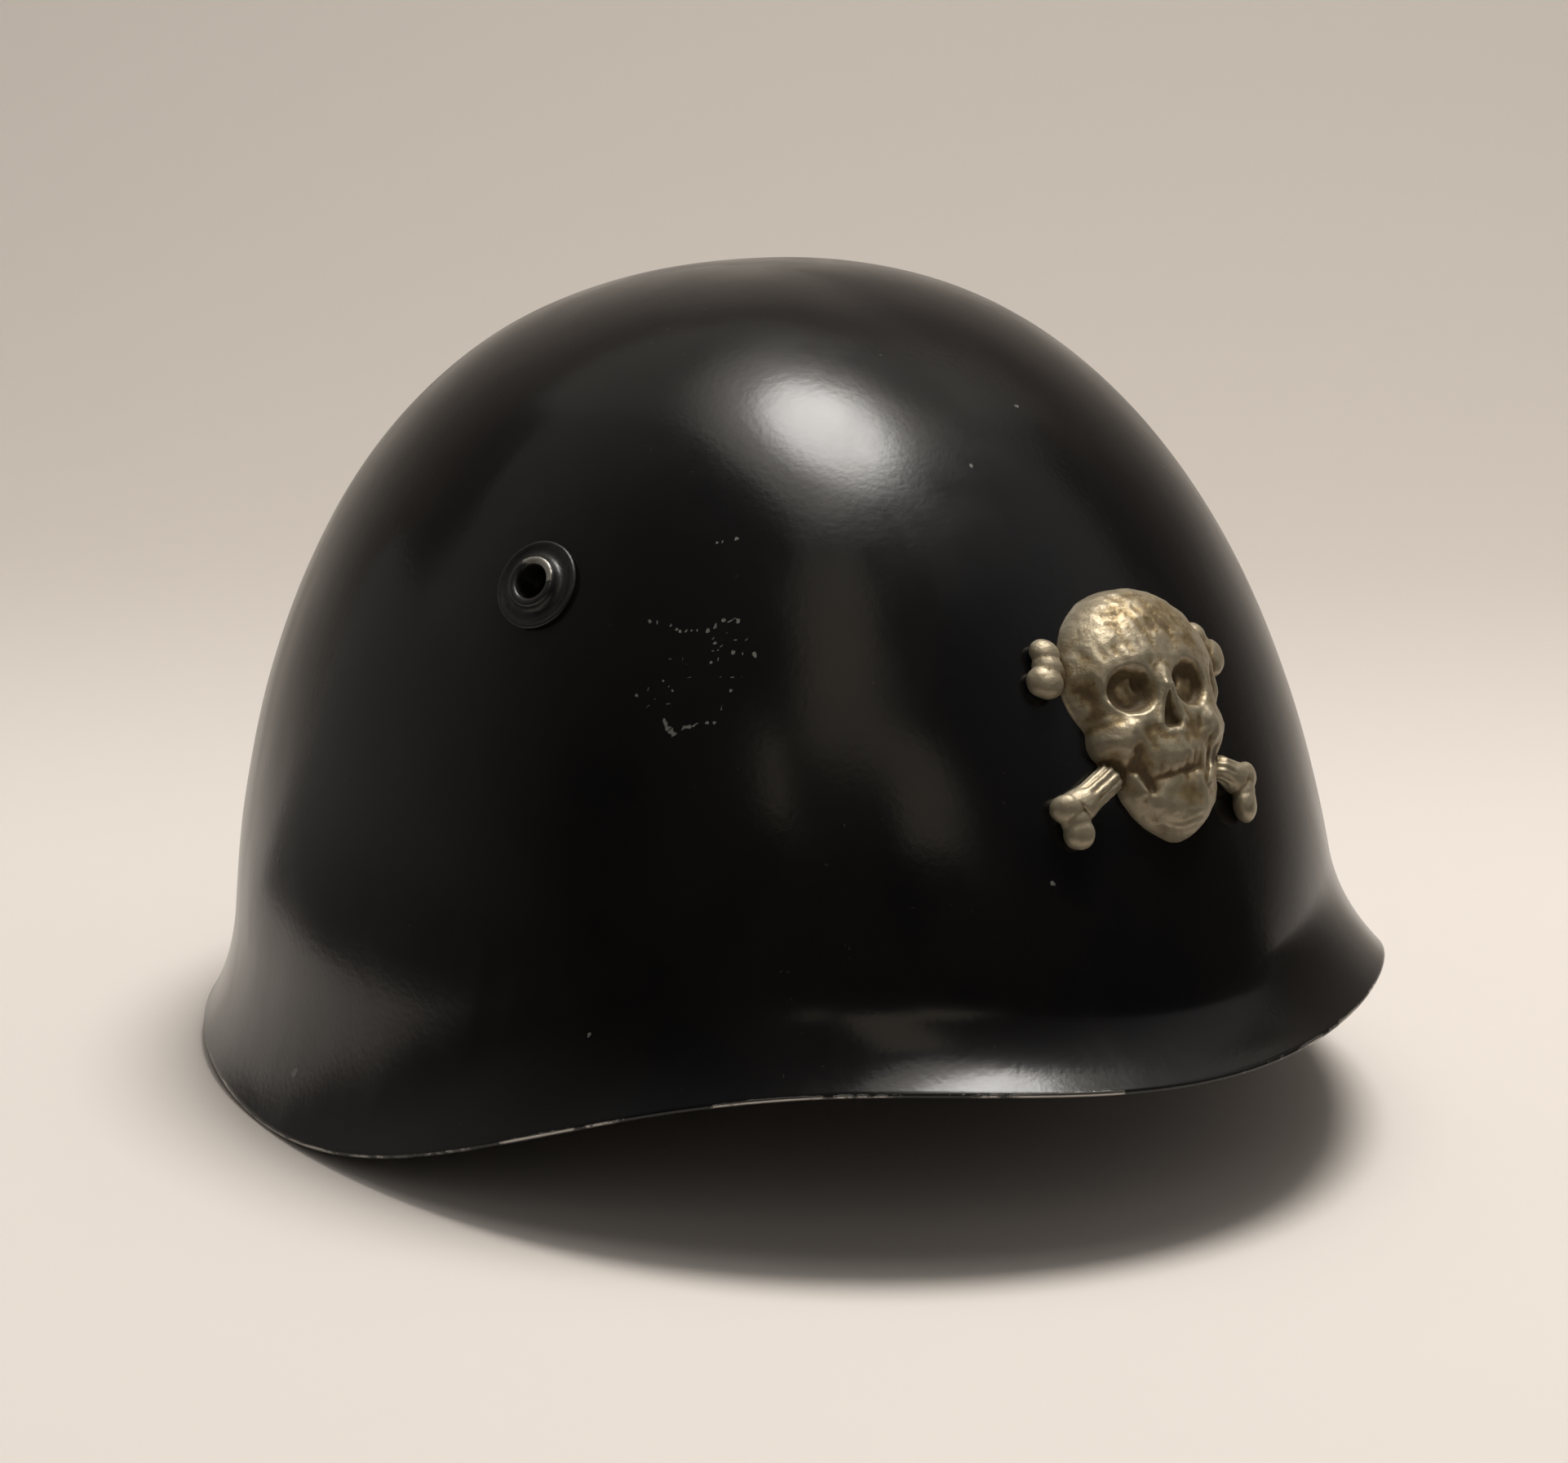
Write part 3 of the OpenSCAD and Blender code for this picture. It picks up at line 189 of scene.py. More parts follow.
def directions(p, closed):
    """Each point's direction along the line, from the point before it to the one after."""
    if closed:
        return unit(np.roll(p, -1, 0) - np.roll(p, 1, 0))
    return unit(np.vstack([p[1:], 2 * p[-1] - p[-2]]) - np.vstack([2 * p[0] - p[1], p[:-1]]))


def add_object(name, data):
    o = bpy.data.objects.new(name, data)
    bpy.context.scene.collection.objects.link(o)
    return o


def new_mesh(name, points, faces):
    """A mesh from points in metres."""
    data = bpy.data.meshes.new(name)
    data.from_pydata(np.asarray(points, float).tolist(), [], [list(map(int, f)) for f in faces])
    return data


def values_of(items, key, width, kind=float):
    """One value of each of a mesh's vertices, normals or edges, as rows of this width."""
    out = np.empty(len(items) * width, kind)
    items.foreach_get(key, out)
    return out.reshape(-1, width)


def add_piece(name, points, faces, body, slot, replaces=(), **attributes):
    """A piece made of points in millimetres; attributes are values of its vertices for the shaders."""
    data = new_mesh(name, np.asarray(points, float) * MM, faces)
    for key, values in attributes.items():
        data.attributes.new(key, "FLOAT", "POINT").data.foreach_set("value", np.asarray(values, np.float32))
    data.validate()
    data.update()
    data.shade_smooth()
    o = add_object(name, data)
    data.materials.append(SLOTS[slot])
    if body:
        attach(o, body)
    if replaces:
        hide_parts(*replaces)
    return o


def apply_modifiers(o):
    graph = bpy.context.evaluated_depsgraph_get()
    data = bpy.data.meshes.new_from_object(o.evaluated_get(graph))
    o.modifiers.clear()
    old = o.data
    o.data = data
    bpy.data.meshes.remove(old)


def cut(o, points, faces):
    """Cuts a closed form, its points in millimetres, out of a piece."""
    cutter = add_object("cutter", new_mesh("cutter", np.asarray(points, float) * MM, faces))
    hole = o.modifiers.new("hole", "BOOLEAN")
    hole.operation, hole.object, hole.solver = "DIFFERENCE", cutter, "EXACT"
    bpy.context.view_layer.update()
    apply_modifiers(o)
    bpy.data.objects.remove(cutter)


def cut_hole(o, turn, place, radius):
    """A round hole along the third axis of the frame whose columns are turn."""
    turns = np.linspace(0, 2 * math.pi, HOLE_STEPS, False)
    ring = [(radius * math.cos(a), radius * math.sin(a)) for a in turns]
    local = np.array([(x, y, h) for h in (-HOLE_REACH, HOLE_REACH) for x, y in ring])
    cut(o, local @ turn.T + place, grid_faces(2, HOLE_STEPS).tolist() + end_faces(2, HOLE_STEPS))


def cut_box(o, middle, size):
    a, b = (np.asarray(middle) + s * np.asarray(size) / 2 for s in (-1, 1))
    corners = [(x, y, z) for x in (a[0], b[0]) for y in (a[1], b[1]) for z in (a[2], b[2])]
    cut(o, corners, BOX_FACES)


def rounded(profile, radius, steps):
    """A closed profile with its corners rounded."""
    p = np.asarray(profile, float)
    out = []
    for i in range(len(p)):
        a, b, c = p[i - 1], p[i], p[(i + 1) % len(p)]
        r1 = min(radius, np.linalg.norm(a - b) * 0.45)
        r2 = min(radius, np.linalg.norm(c - b) * 0.45)
        s, e = b + (a - b) / np.linalg.norm(a - b) * r1, b + (c - b) / np.linalg.norm(c - b) * r2
        for t in np.linspace(0, 1, steps):
            out.append((1 - t) ** 2 * s + 2 * t * (1 - t) * b + t * t * e)
    return np.array(out)


def shell_frame(u, z):
    """Columns x, y, normal and the point of the shell at angle u and height z, as the source's on_shell."""
    n = normal_at(u, z)
    turn, tip = math.atan2(n[1], n[0]), math.acos(n[2])
    rz = np.array([[math.cos(turn), -math.sin(turn), 0], [math.sin(turn), math.cos(turn), 0], [0, 0, 1]])
    ry = np.array([[math.cos(tip), 0, math.sin(tip)], [0, 1, 0], [-math.sin(tip), 0, math.cos(tip)]])
    return rz @ ry, point_at(u, z)


# materials
class Shader:
    """A material of nodes round one Principled BSDF, in the object's own coordinates in metres."""

    def __init__(self, name, **sockets):
        self.material = bpy.data.materials.new(name)
        self.material.use_nodes = True
        self.tree = self.material.node_tree
        self.surface = self.tree.nodes["Principled BSDF"]
        self.set(**sockets)
        self.coords = self.tree.nodes.new("ShaderNodeTexCoord").outputs["Object"]
        self.height = None

    def feed(self, socket, value):
        """Links a socket to another one, or gives it a number, a vector or a colour."""
        if isinstance(value, bpy.types.NodeSocket):
            self.tree.links.new(value, socket)
        else:
            socket.default_value = (*value, 1) if isinstance(value, tuple) else value

    def set(self, **sockets):
        for key, value in sockets.items():
            self.feed(self.surface.inputs[key.replace("_", " ")], value)

    def node(self, kind, inputs=(), **settings):
        n = self.tree.nodes.new("ShaderNode" + kind)
        for key, value in settings.items():
            setattr(n, key, value)
        for key, value in dict(inputs).items():
            self.feed(n.inputs[key], value)
        return n

    def noise(self, scale, detail=2.0, rough=0.5, distortion=0.0, at=None):
        return self.node("TexNoise", {"Vector": at or self.coords, "Scale": scale, "Detail": detail,
                                      "Roughness": rough, "Distortion": distortion}).outputs["Fac"]

    def cells(self, scale, feature="F1"):
        inputs = {"Vector": self.coords, "Scale": scale}
        return self.node("TexVoronoi", inputs, feature=feature).outputs["Distance"]

    def stretch(self, x, y, z):
        return self.node("Mapping", {"Vector": self.coords, "Scale": Vector((x, y, z))}).outputs["Vector"]

    def measure(self, kind, vector):
        """The dot product of this place with a vector, or its distance from one."""
        return self.node("VectorMath", {0: self.coords, 1: Vector(vector)}, operation=kind).outputs["Value"]

    def math(self, kind, a, b=0.0, clamp=False):
        return self.node("Math", {0: a, 1: b}, operation=kind, use_clamp=clamp).outputs[0]

    def times(self, a, b, clamp=False):
        return self.math("MULTIPLY", a, b, clamp)

    def plus(self, a, b):
        return self.math("ADD", a, b)

    def minus(self, a, b):
        return self.math("SUBTRACT", a, b)

    def mask(self, value, low, high, out_low=0.0, out_high=1.0):
        return self.node("MapRange", {"Value": value, "From Min": low, "From Max": high, "To Min": out_low,
                                      "To Max": out_high}, interpolation_type="SMOOTHSTEP").outputs["Result"]

    def mix(self, fac, a, b):
        """A colour between two colours."""
        return self.node("Mix", {0: fac, 6: a, 7: b}, data_type="RGBA").outputs[2]

    def blend(self, fac, a, b):
        """A number between two numbers."""
        return self.plus(self.times(fac, b), self.times(self.minus(1.0, fac), a))

    def attribute(self, name):
        return self.node("Attribute", attribute_name=name).outputs["Fac"]

    def bump(self, height, distance, strength=1.0):
        """Adds one bump of a height in metres over those before."""
        n = self.node("Bump", {"Height": height, "Distance": distance, "Strength": strength})
        if self.height:
            self.tree.links.new(self.height, n.inputs["Normal"])
        self.height = n.outputs["Normal"]
        self.set(Normal=self.height)


def black_paint():
    m = Shader("black_paint", Specular_IOR_Level=0.32)
    broad, fine = m.noise(22, 4, 0.55), m.noise(160, 5, 0.6)
    smear = m.noise(60, 3, 0.5, 0.6, m.stretch(1, 1, 0.35))
    tint = m.mix(m.mask(broad, 0.35, 0.7), (0.0034, 0.0032, 0.0038), (0.0062, 0.0054, 0.0050))
    inside = m.attribute("inside")
    tint = m.mix(inside, tint, m.mix(fine, (0.030, 0.033, 0.028), (0.052, 0.055, 0.046)))
    dust = m.times(m.mask(m.noise(520, 3, 0.7), 0.68, 0.76), m.mask(m.noise(38, 2), 0.45, 0.62))
    tint = m.mix(m.times(dust, 0.05), tint, (0.20, 0.18, 0.15))
    ragged = m.minus(m.noise(1500, 3, 0.6), 0.5)
    chip_axes = {i: m.attribute("chip_" + axis) for i, axis in enumerate("xyz")}
    chip_offset = m.node("CombineXYZ", chip_axes).outputs["Vector"]
    chip_distance = m.node("VectorMath", {0: chip_offset}, operation="LENGTH").outputs["Value"]
    marks = m.mask(m.minus(m.times(ragged, 3.0), chip_distance), -1.0, -0.75)
    tint = m.mix(m.times(marks, 0.6, True), tint, (0.20, 0.19, 0.17))
    bare_metal = m.mask(m.plus(m.attribute("wear"), m.times(m.minus(m.noise(260, 5, 0.7), 0.5), 0.9)),
                  0.52, 0.66)
    tint = m.mix(bare_metal, tint, m.mix(fine, (0.20, 0.19, 0.175), (0.46, 0.44, 0.41)))
    tint = m.mix(m.attribute("crack"), tint, (0.002, 0.002, 0.002))
    rough = m.blend(m.mask(smear, 0.3, 0.75), 0.17, 0.24)
    rough = m.plus(rough, m.times(inside, 0.28))
    rough = m.plus(rough, m.times(m.math("MAXIMUM", marks, dust), 0.22))
    m.set(Base_Color=tint, Roughness=rough, Metallic=m.times(bare_metal, 0.9))
    m.bump(m.noise(30, 2), 0.0010, 0.15)
    m.bump(m.noise(700, 2), 0.00004, 0.5)
    m.bump(m.times(marks, -1.0), 0.0001, 0.5)
    return m.material


def rivet_paint():
    m = Shader("rivet_paint")
    fine = m.noise(500, 5, 0.65)
    # bare metal: real wear on the collar, plus a painted highlight where the rivet's attribute is weighted to
    # the collar's lit upper right side
    bare_metal = m.mask(m.plus(m.attribute("wear"), m.times(m.minus(m.noise(900, 5, 0.7), 0.5), 1.1)),
                  0.5, 0.72)
    tint = m.mix(m.noise(150, 3), (0.0060, 0.0058, 0.0058), (0.015, 0.014, 0.0125))
    m.set(Base_Color=m.mix(bare_metal, tint, m.mix(fine, (0.22, 0.20, 0.17), (0.50, 0.48, 0.43))),
          Roughness=m.blend(bare_metal, 0.36, 0.42), Metallic=m.times(bare_metal, 0.85))
    m.bump(m.noise(1500, 4, 0.6), 0.00012, 0.7)
    m.bump(m.noise(260, 3), 0.0003, 0.4)
    return m.material


def plated(name, low, high, rough):
    m = Shader(name)
    body = m.mix(m.noise(300, 4, 0.6), low, high)
    stain = m.mask(m.noise(105, 5, 0.65), 0.52, 0.72)
    m.set(Base_Color=m.mix(m.times(stain, 0.6), body, (0.10, 0.085, 0.07)),
          Metallic=m.minus(1.0, m.times(stain, 0.35)),
          Roughness=m.blend(m.noise(180, 3), rough - 0.08, rough + 0.16))
    m.bump(m.noise(1800, 3), 0.00003, 0.6)
    return m.material


def primer():
    m = Shader("grey_green_paint")
    tint = m.mix(m.noise(70, 4, 0.6), (0.105, 0.118, 0.092), (0.165, 0.178, 0.142))
    rust = m.mask(m.noise(120, 6, 0.7), 0.60, 0.72)
    tint = m.mix(m.times(rust, 0.7), tint, (0.085, 0.040, 0.018))
    chip = m.mask(m.noise(380, 5, 0.7), 0.66, 0.72)
    m.set(Base_Color=m.mix(m.times(chip, 0.5), tint, (0.24, 0.23, 0.21)), Roughness=m.blend(rust, 0.52, 0.8))
    m.bump(m.noise(900, 3), 0.00006, 0.6)
    return m.material


def felt():
    m = Shader("felt", Sheen_Weight=0.4, Sheen_Roughness=0.6, Specular_IOR_Level=0.2)
    fibre = m.noise(1400, 6, 0.75, 1.5)
    blotch = m.noise(60, 3)
    tint = m.mix(m.times(m.plus(fibre, blotch), 0.5), (0.13, 0.135, 0.115), (0.30, 0.305, 0.27))
    m.set(Base_Color=tint, Roughness=0.95)
    m.bump(fibre, 0.0005, 0.8)
    return m.material


def leather(name, dark, light, edge, shine=0.42):
    m = Shader(name, Specular_IOR_Level=0.45)
    pores = m.cells(1100)
    pebble = m.cells(620, feature="DISTANCE_TO_EDGE")
    blotch, stain = m.noise(35, 5, 0.6), m.noise(14, 3)
    tint = m.mix(m.mask(blotch, 0.3, 0.75), dark, light)
    tint = m.mix(m.times(m.mask(stain, 0.52, 0.72), 0.55), tint, tuple(c * 0.45 for c in dark))
    tint = m.mix(m.times(m.mask(pores, 0.35, 0.05), 0.35), tint, tuple(c * 0.4 for c in dark))
    tint = m.mix(m.attribute("edge"), tint, edge)
    m.set(Base_Color=tint, Roughness=m.blend(m.mask(blotch, 0.3, 0.7), shine, shine + 0.2))
    m.bump(m.noise(90, 4, 0.6), 0.0008, 0.35)
    m.bump(m.mask(pebble, 0.0, 0.12), 0.00012, 0.6)
    m.bump(m.times(m.attribute("crease"), -1.0), 0.0008, 0.6)
    return m.material


def lace():
    m = Shader("lace", Specular_IOR_Level=0.25)
    fibre = m.noise(1800, 5, 0.7)
    m.set(Base_Color=m.mix(fibre, (0.20, 0.165, 0.11), (0.46, 0.41, 0.30)), Roughness=0.85)
    m.bump(fibre, 0.0002, 0.8)
    return m.material


def badge_metal():
    """Worn silver wash over brass, with brown dirt in the hollows."""
    m = Shader("badge_brass", Specular_IOR_Level=0.5)
    cavity = m.attribute("cavity")
    patches, blotch = m.noise(130, 5, 0.68), m.noise(48, 4, 0.6)
    spots, grain = m.noise(520, 5, 0.7), m.noise(1400, 4, 0.7)
    silver = m.mix(spots, (0.225, 0.185, 0.118), (0.52, 0.46, 0.345))
    brass = m.mix(spots, (0.175, 0.122, 0.052), (0.38, 0.285, 0.138))
    yellow = m.mask(m.plus(m.plus(patches, m.times(blotch, 0.5)), m.times(cavity, 0.26)), 0.50, 0.86)
    tint = m.mix(yellow, silver, brass)
    deep = m.mask(m.plus(m.times(cavity, 0.95), m.times(m.plus(spots, patches), 0.46)), 0.40, 1.0)
    stain = m.times(m.mask(m.noise(260, 6, 0.80), 0.47, 0.64),
                    m.mask(m.plus(blotch, m.times(cavity, 0.12)), 0.34, 0.58, 0.2, 0.9))
    cover = m.plus(m.times(m.plus(patches, blotch), 0.5), m.times(cavity, 0.30))
    film = m.mask(cover, 0.40, 0.62, 0.12, 0.92)
    tint = m.mix(film, tint, m.mix(spots, (0.120, 0.078, 0.032), (0.30, 0.222, 0.120)))
    dirt = m.math("MAXIMUM", deep, stain)
    tint = m.mix(m.times(dirt, 0.94), tint, m.mix(grain, (0.024, 0.014, 0.005), (0.135, 0.086, 0.030)))
    m.set(Base_Color=tint, Metallic=m.minus(0.62, m.times(dirt, 0.45)),
          Roughness=m.plus(m.blend(spots, 0.33, 0.52), m.times(dirt, 0.22)))
    m.bump(m.noise(230, 4, 0.6), 0.0005, 0.45)
    m.bump(m.noise(760, 5, 0.7), 0.00025, 0.5)
    m.bump(m.times(dirt, grain), 0.0002, 0.5)
    return m.material


SLOTS = {
    "black_paint": black_paint(),
    "rivet_paint": rivet_paint(),
    "zinc": plated("zinc", (0.34, 0.34, 0.33), (0.56, 0.56, 0.54), 0.45),
    "grey_green_paint": primer(),
    "felt": felt(),
    "leather": leather("leather", (0.095, 0.045, 0.020), (0.20, 0.105, 0.050), (0.07, 0.035, 0.018)),
    "strap_leather": leather("strap_leather", (0.060, 0.028, 0.014), (0.13, 0.065, 0.032),
                             (0.03, 0.016, 0.010), 0.36),
    "brass": plated("brass", (0.40, 0.29, 0.12), (0.66, 0.51, 0.25), 0.36),
    "badge_brass": badge_metal(),
    "wire": plated("wire", (0.36, 0.35, 0.33), (0.58, 0.57, 0.54), 0.32),
    "lace": lace(),
}


# camera, floor and world
WORLD_BACK, WORLD_FRONT = 0.38, 0.04
# the photograph's camera, fitted to the helmet's outline: degrees, millimetres and pixels
AZIMUTH, ELEVATION, ROLL = -38.585473648, 14.989916995, 0.556984036
DISTANCE, FOCAL_PX = 1017.317006, 5856.992092
TARGET = np.array([0.773263770, -0.646463648, 70.345855705]) - SHIFT


def camera_axes():
    a, e, r = (math.radians(v) for v in (AZIMUTH, ELEVATION, ROLL))
    back = Vector((math.sin(a) * math.cos(e), -math.cos(a) * math.cos(e), math.sin(e)))
    right = Vector((math.cos(a), math.sin(a), 0))
    up = back.cross(right)
    return right * math.cos(r) + up * math.sin(r), up * math.cos(r) - right * math.sin(r), back


def add_camera():
    right, up, back = camera_axes()
    data = bpy.data.cameras.new("camera")
    data.sensor_width, data.lens = SENSOR_W, FOCAL_PX / IMAGE_W * SENSOR_W
    data.clip_start, data.clip_end = 0.05, 50
    o = add_object("camera", data)
    place = Matrix((right, up, back)).transposed().to_4x4()
    place.translation = Vector(TARGET * MM) + back * DISTANCE * MM
    o.matrix_world = place
    bpy.context.scene.camera = o
    return o


camera = add_camera()


def skin_under(px, py):
    """Angle and share of the shell's outer surface under a pixel, on a grid that closes in on it."""
    right, up, back = (np.array(v) for v in camera_axes())
    eye = np.array(camera.matrix_world.translation) / MM
    best, span = np.array([math.radians(AZIMUTH), 0.5]), np.array([math.radians(85), 0.95])
    grid = np.linspace(-1, 1, 15)
    for _ in range(9):
        shares = np.clip(best[1] + span[1] * grid, 0.02, 2)
        u, s = np.meshgrid(best[0] + span[0] * grid, shares, indexing="ij")
        d = skin(u, s) - eye
        z = -(d @ back)
        x, y = IMAGE_W / 2 + FOCAL_PX * (d @ right) / z, IMAGE_H / 2 - FOCAL_PX * (d @ up) / z
        off = np.where(skin_normal(u, s) @ back > 0.02, (x - px) ** 2 + (y - py) ** 2, np.inf)
        best, span = np.array([u.flat[off.argmin()], s.flat[off.argmin()]]), span * 0.3
    return best


def area_light(name, place, target, size, power, color, glossy=True):
    data = bpy.data.lights.new(name, "AREA")
    data.shape, data.size, data.size_y = "ELLIPSE", size, size
    data.energy, data.color = power, color
    o = add_object(name, data)
    o.location = place
    o.rotation_euler = (Vector(target) - Vector(place)).to_track_quat("-Z", "Y").to_euler()
    o.visible_glossy = glossy


def stage_paper_painted_shade():
    """Pale paper with painted shade: its colour darkens behind the helmet, where the paper reaches past the
    lamp's light.
    """
    m = Shader("stage_paper_painted_shade", Specular_IOR_Level=0.1)
    away = m.measure("DOT_PRODUCT", (0.6236, 0.7817, 0))
    near = m.mix(m.noise(3, 3), (0.810, 0.745, 0.688), (0.830, 0.763, 0.705))
    # painted shade: the paper's colour goes from the near tone to a darker one away from the camera, behind
    # the helmet, where the lamp's light falls off
    m.set(Base_Color=m.mix(m.mask(away, 0.12, 0.52), near, (0.640, 0.582, 0.525)), Roughness=0.9)
    m.bump(m.noise(40, 3), 0.0008, 0.3)
    return m.material


def add_stage():
    """A pale sweep: the floor curves up into a backdrop behind the helmet as seen by the camera."""
    right, _, back = camera_axes()
    away = -Vector((back.x, back.y, 0)).normalized()
    side = Vector((right.x, right.y, 0)).normalized()
    radius, depth, height, half_w = 0.9, 0.55, 2.6, 4.5
    rows = [away * t for t in np.linspace(-4.0, depth, 12)]
    for a in np.linspace(0, math.pi / 2, 24)[1:]:
        rows.append(away * (depth + radius * math.sin(a)) + Vector((0, 0, radius * (1 - math.cos(a)))))
    rows.append(away * (depth + radius) + Vector((0, 0, height)))
    points = [r + side * x for r in rows for x in (-half_w, -half_w / 3, half_w / 3, half_w)]
    data = new_mesh("sweep", points, grid_faces(len(rows), 4, False))
    data.shade_smooth()
    data.materials.append(stage_paper_painted_shade())
    add_object("sweep", data)


add_stage()


def add_world():
    """A dim studio round the stage: darker on the camera's side, lighter behind."""
    world = bpy.data.worlds.new("studio")
    bpy.context.scene.world = world
    world.use_nodes = True
    tree = world.node_tree
    turn = math.radians(-45)
    front = Vector((math.sin(turn), -math.cos(turn), 0.25)).normalized()
    coords = tree.nodes.new("ShaderNodeTexCoord")
    facing = tree.nodes.new("ShaderNodeVectorMath")
    facing.operation = "DOT_PRODUCT"
    facing.inputs[1].default_value = front
    tree.links.new(coords.outputs["Generated"], facing.inputs[0])
    ramp = tree.nodes.new("ShaderNodeMapRange")
    ramp.interpolation_type = "SMOOTHSTEP"
    limits = {"From Min": -0.2, "From Max": 0.75, "To Min": WORLD_BACK, "To Max": WORLD_FRONT}
    for key, value in limits.items():
        ramp.inputs[key].default_value = value
    tree.links.new(facing.outputs["Value"], ramp.inputs["Value"])
    ground = tree.nodes["Background"]
    ground.inputs["Color"].default_value = (1.0, 0.97, 0.93, 1)
    tree.links.new(ramp.outputs["Result"], ground.inputs["Strength"])


add_world()


# the shell
COLUMNS, DOME_ROWS, FLARE_ROWS, EDGE_STEPS = ((528, 150, 46, 8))
# chips in the paint: the photograph's pixel and the radius in millimetres
CHIPS = [(796, 761, 0.35), (822, 766, 0.4), (833, 773, 0.35), (847, 773, 0.3), (868, 772, 0.45),
         (887, 760, 0.4), (905, 761, 0.45), (876, 788, 0.35), (899, 799, 0.45), (925, 802, 0.45),
         (871, 812, 0.3), (813, 834, 0.3), (824, 846, 0.3), (780, 852, 0.35), (814, 884, 0.5),
         (819, 892, 0.6), (825, 900, 0.55), (842, 890, 0.3), (850, 889, 0.3), (862, 886, 0.3),
         (876, 886, 0.3), (903, 660, 0.4), (879, 665, 0.3), (896, 846, 0.3), (722, 1268, 0.5),
         (1246, 497, 0.5), (1290, 1082, 0.5), (360, 1315, 1.2), (1190, 570, 0.5)]
NO_CHIP = 99.0
# the crack in the paint over the brow: the photograph's pixels of its ends
CRACK, CRACK_HALF_W = ((1132, 1338), (1146, 1316)), 0.45
# shares of the skin taken by the round edge, by its wear and just off the pole, then a radius
EDGE_SHARE, WEAR_SHARE, NEAR_POLE, VENT_HOLE_R = 0.022, 0.035, 1e-6, 4.6


def shell_waves(p):
    """Slight unevenness of the pressed sheet, in millimetres."""
    return 0.10 * waves(p, 85, 8, 3) + 0.035 * waves(p, 28, 10, 4)


def nearest_chip(points):
    """Each point's offset from the paint chip nearest to it, in shares of the chip's size."""
    offset, best = np.full(points.shape, NO_CHIP), np.full(len(points), np.inf)
    for x, y, size in CHIPS:
        step = (points - skin(*skin_under(x, y))) / size
        far = (step ** 2).sum(1)
        closer = far < best
        offset[closer], best[closer] = step[closer], far[closer]
    return offset


def add_shell():
    u = np.radians(360 * np.arange(COLUMNS) / COLUMNS)
    dome = np.arange(1, DOME_ROWS + 1) / DOME_ROWS
    flare = 1 + (2 - EDGE_SHARE - 1) * np.arange(1, FLARE_ROWS + 1) / FLARE_ROWS
    s = np.concatenate([dome, flare])[:, None] * np.ones(COLUMNS)
    angle = np.ones((len(s), 1)) * u
    outer, normal = skin(angle, s), skin_normal(angle, s)
    bumps = shell_waves(outer.reshape(-1, 3))[:, None] * normal.reshape(-1, 3)
    outer = outer + bumps.reshape(outer.shape)
    inner = outer - SHELL_T * normal
    tangent = unit(outer[-1] - outer[-2])
    middle = outer[-1] - normal[-1] * SHELL_T / 2
    turns = math.pi * np.arange(1, EDGE_STEPS) / EDGE_STEPS
    edge = [middle + SHELL_T / 2 * (math.cos(a) * normal[-1] + math.sin(a) * tangent) for a in turns]
    rings = np.concatenate([outer, np.array(edge), inner[::-1]])
    rows, last = len(rings), len(rings) * COLUMNS
    top = skin(0.0, NEAR_POLE)
    lift = (0, 0, float(shell_waves(top[None])[0]))
    points = np.concatenate([rings.reshape(-1, 3), [top + lift, top - (0, 0, SHELL_T) + lift]])
    faces = grid_faces(rows, COLUMNS, flip=True).tolist() + fan_faces(rows, COLUMNS)

    rim_share = np.concatenate([s[:, 0] - 2, np.zeros(EDGE_STEPS - 1), s[::-1, 0] - 2])
    wear = np.repeat(np.exp(-(rim_share / WEAR_SHARE) ** 2), COLUMNS)
    wear *= 0.62 + 0.20 * waves(points[:last], 45, 8, 11) + 0.1 * waves(points[:last], 12, 8, 12)
    inside = np.concatenate([np.zeros(len(s)), np.linspace(0, 1, EDGE_STEPS - 1), np.ones(len(s))])
    chips = nearest_chip(points)
    a, b = (skin(*skin_under(x, y)) for x, y in CRACK)
    t = np.clip(((points - a) @ (b - a)) / ((b - a) @ (b - a)), -0.6, 1)
    off = np.linalg.norm(points - (a + t[:, None] * (b - a)), axis=1)
    o = add_piece("shell_skin", points, faces, "helmet", "black_paint", ["shell"],
                  wear=np.concatenate([wear, [0, 0]]), crack=np.exp(-(off / CRACK_HALF_W) ** 2),
                  inside=np.concatenate([np.repeat(inside, COLUMNS), [0, 1]]),
                  chip_x=chips[:, 0], chip_y=chips[:, 1], chip_z=chips[:, 2])
    for vent in VENTS.values():
        cut_hole(o, *shell_frame(math.radians(vent), VENT_Z), VENT_HOLE_R)


add_shell()


# vent rivets
VENT_END, LATHE_STEPS = -5.42, 96
# the rivet's profile: radius, and height over the shell
RIVET_PROFILE = [(3.4, VENT_END), (6.1, VENT_END), (6.5, VENT_END + 0.4), (6.5, VENT_END + 1.2),
                 (4.5, VENT_END + 1.2), (4.5, 0.06), (9.0, 0.06), (9.05, 0.62), (8.75, 0.95), (8.25, 0.92),
                 (7.4, 0.62), (6.5, 0.62), (5.75, 1.0), (5.35, 1.7), (5.2, 2.6), (4.8, 3.0), (4.0, 3.0),
                 (3.45, 2.6)]


def lathe(profile, turn, place):
    """A profile of (radius, height) points turned round the third axis of a frame."""
    n, m = len(profile), LATHE_STEPS
    a = np.linspace(0, 2 * math.pi, m, False)
    r, h = profile[:, 0], profile[:, 1]
    rings = np.stack([r[:, None] * np.cos(a), r[:, None] * np.sin(a), h[:, None] * np.ones(m)], -1)
    faces = [[i * m + j, i * m + (j + 1) % m, (i + 1) % n * m + (j + 1) % m, (i + 1) % n * m + j]
             for i in range(n) for j in range(m)]
    return rings.reshape(-1, 3) @ turn.T + place, faces


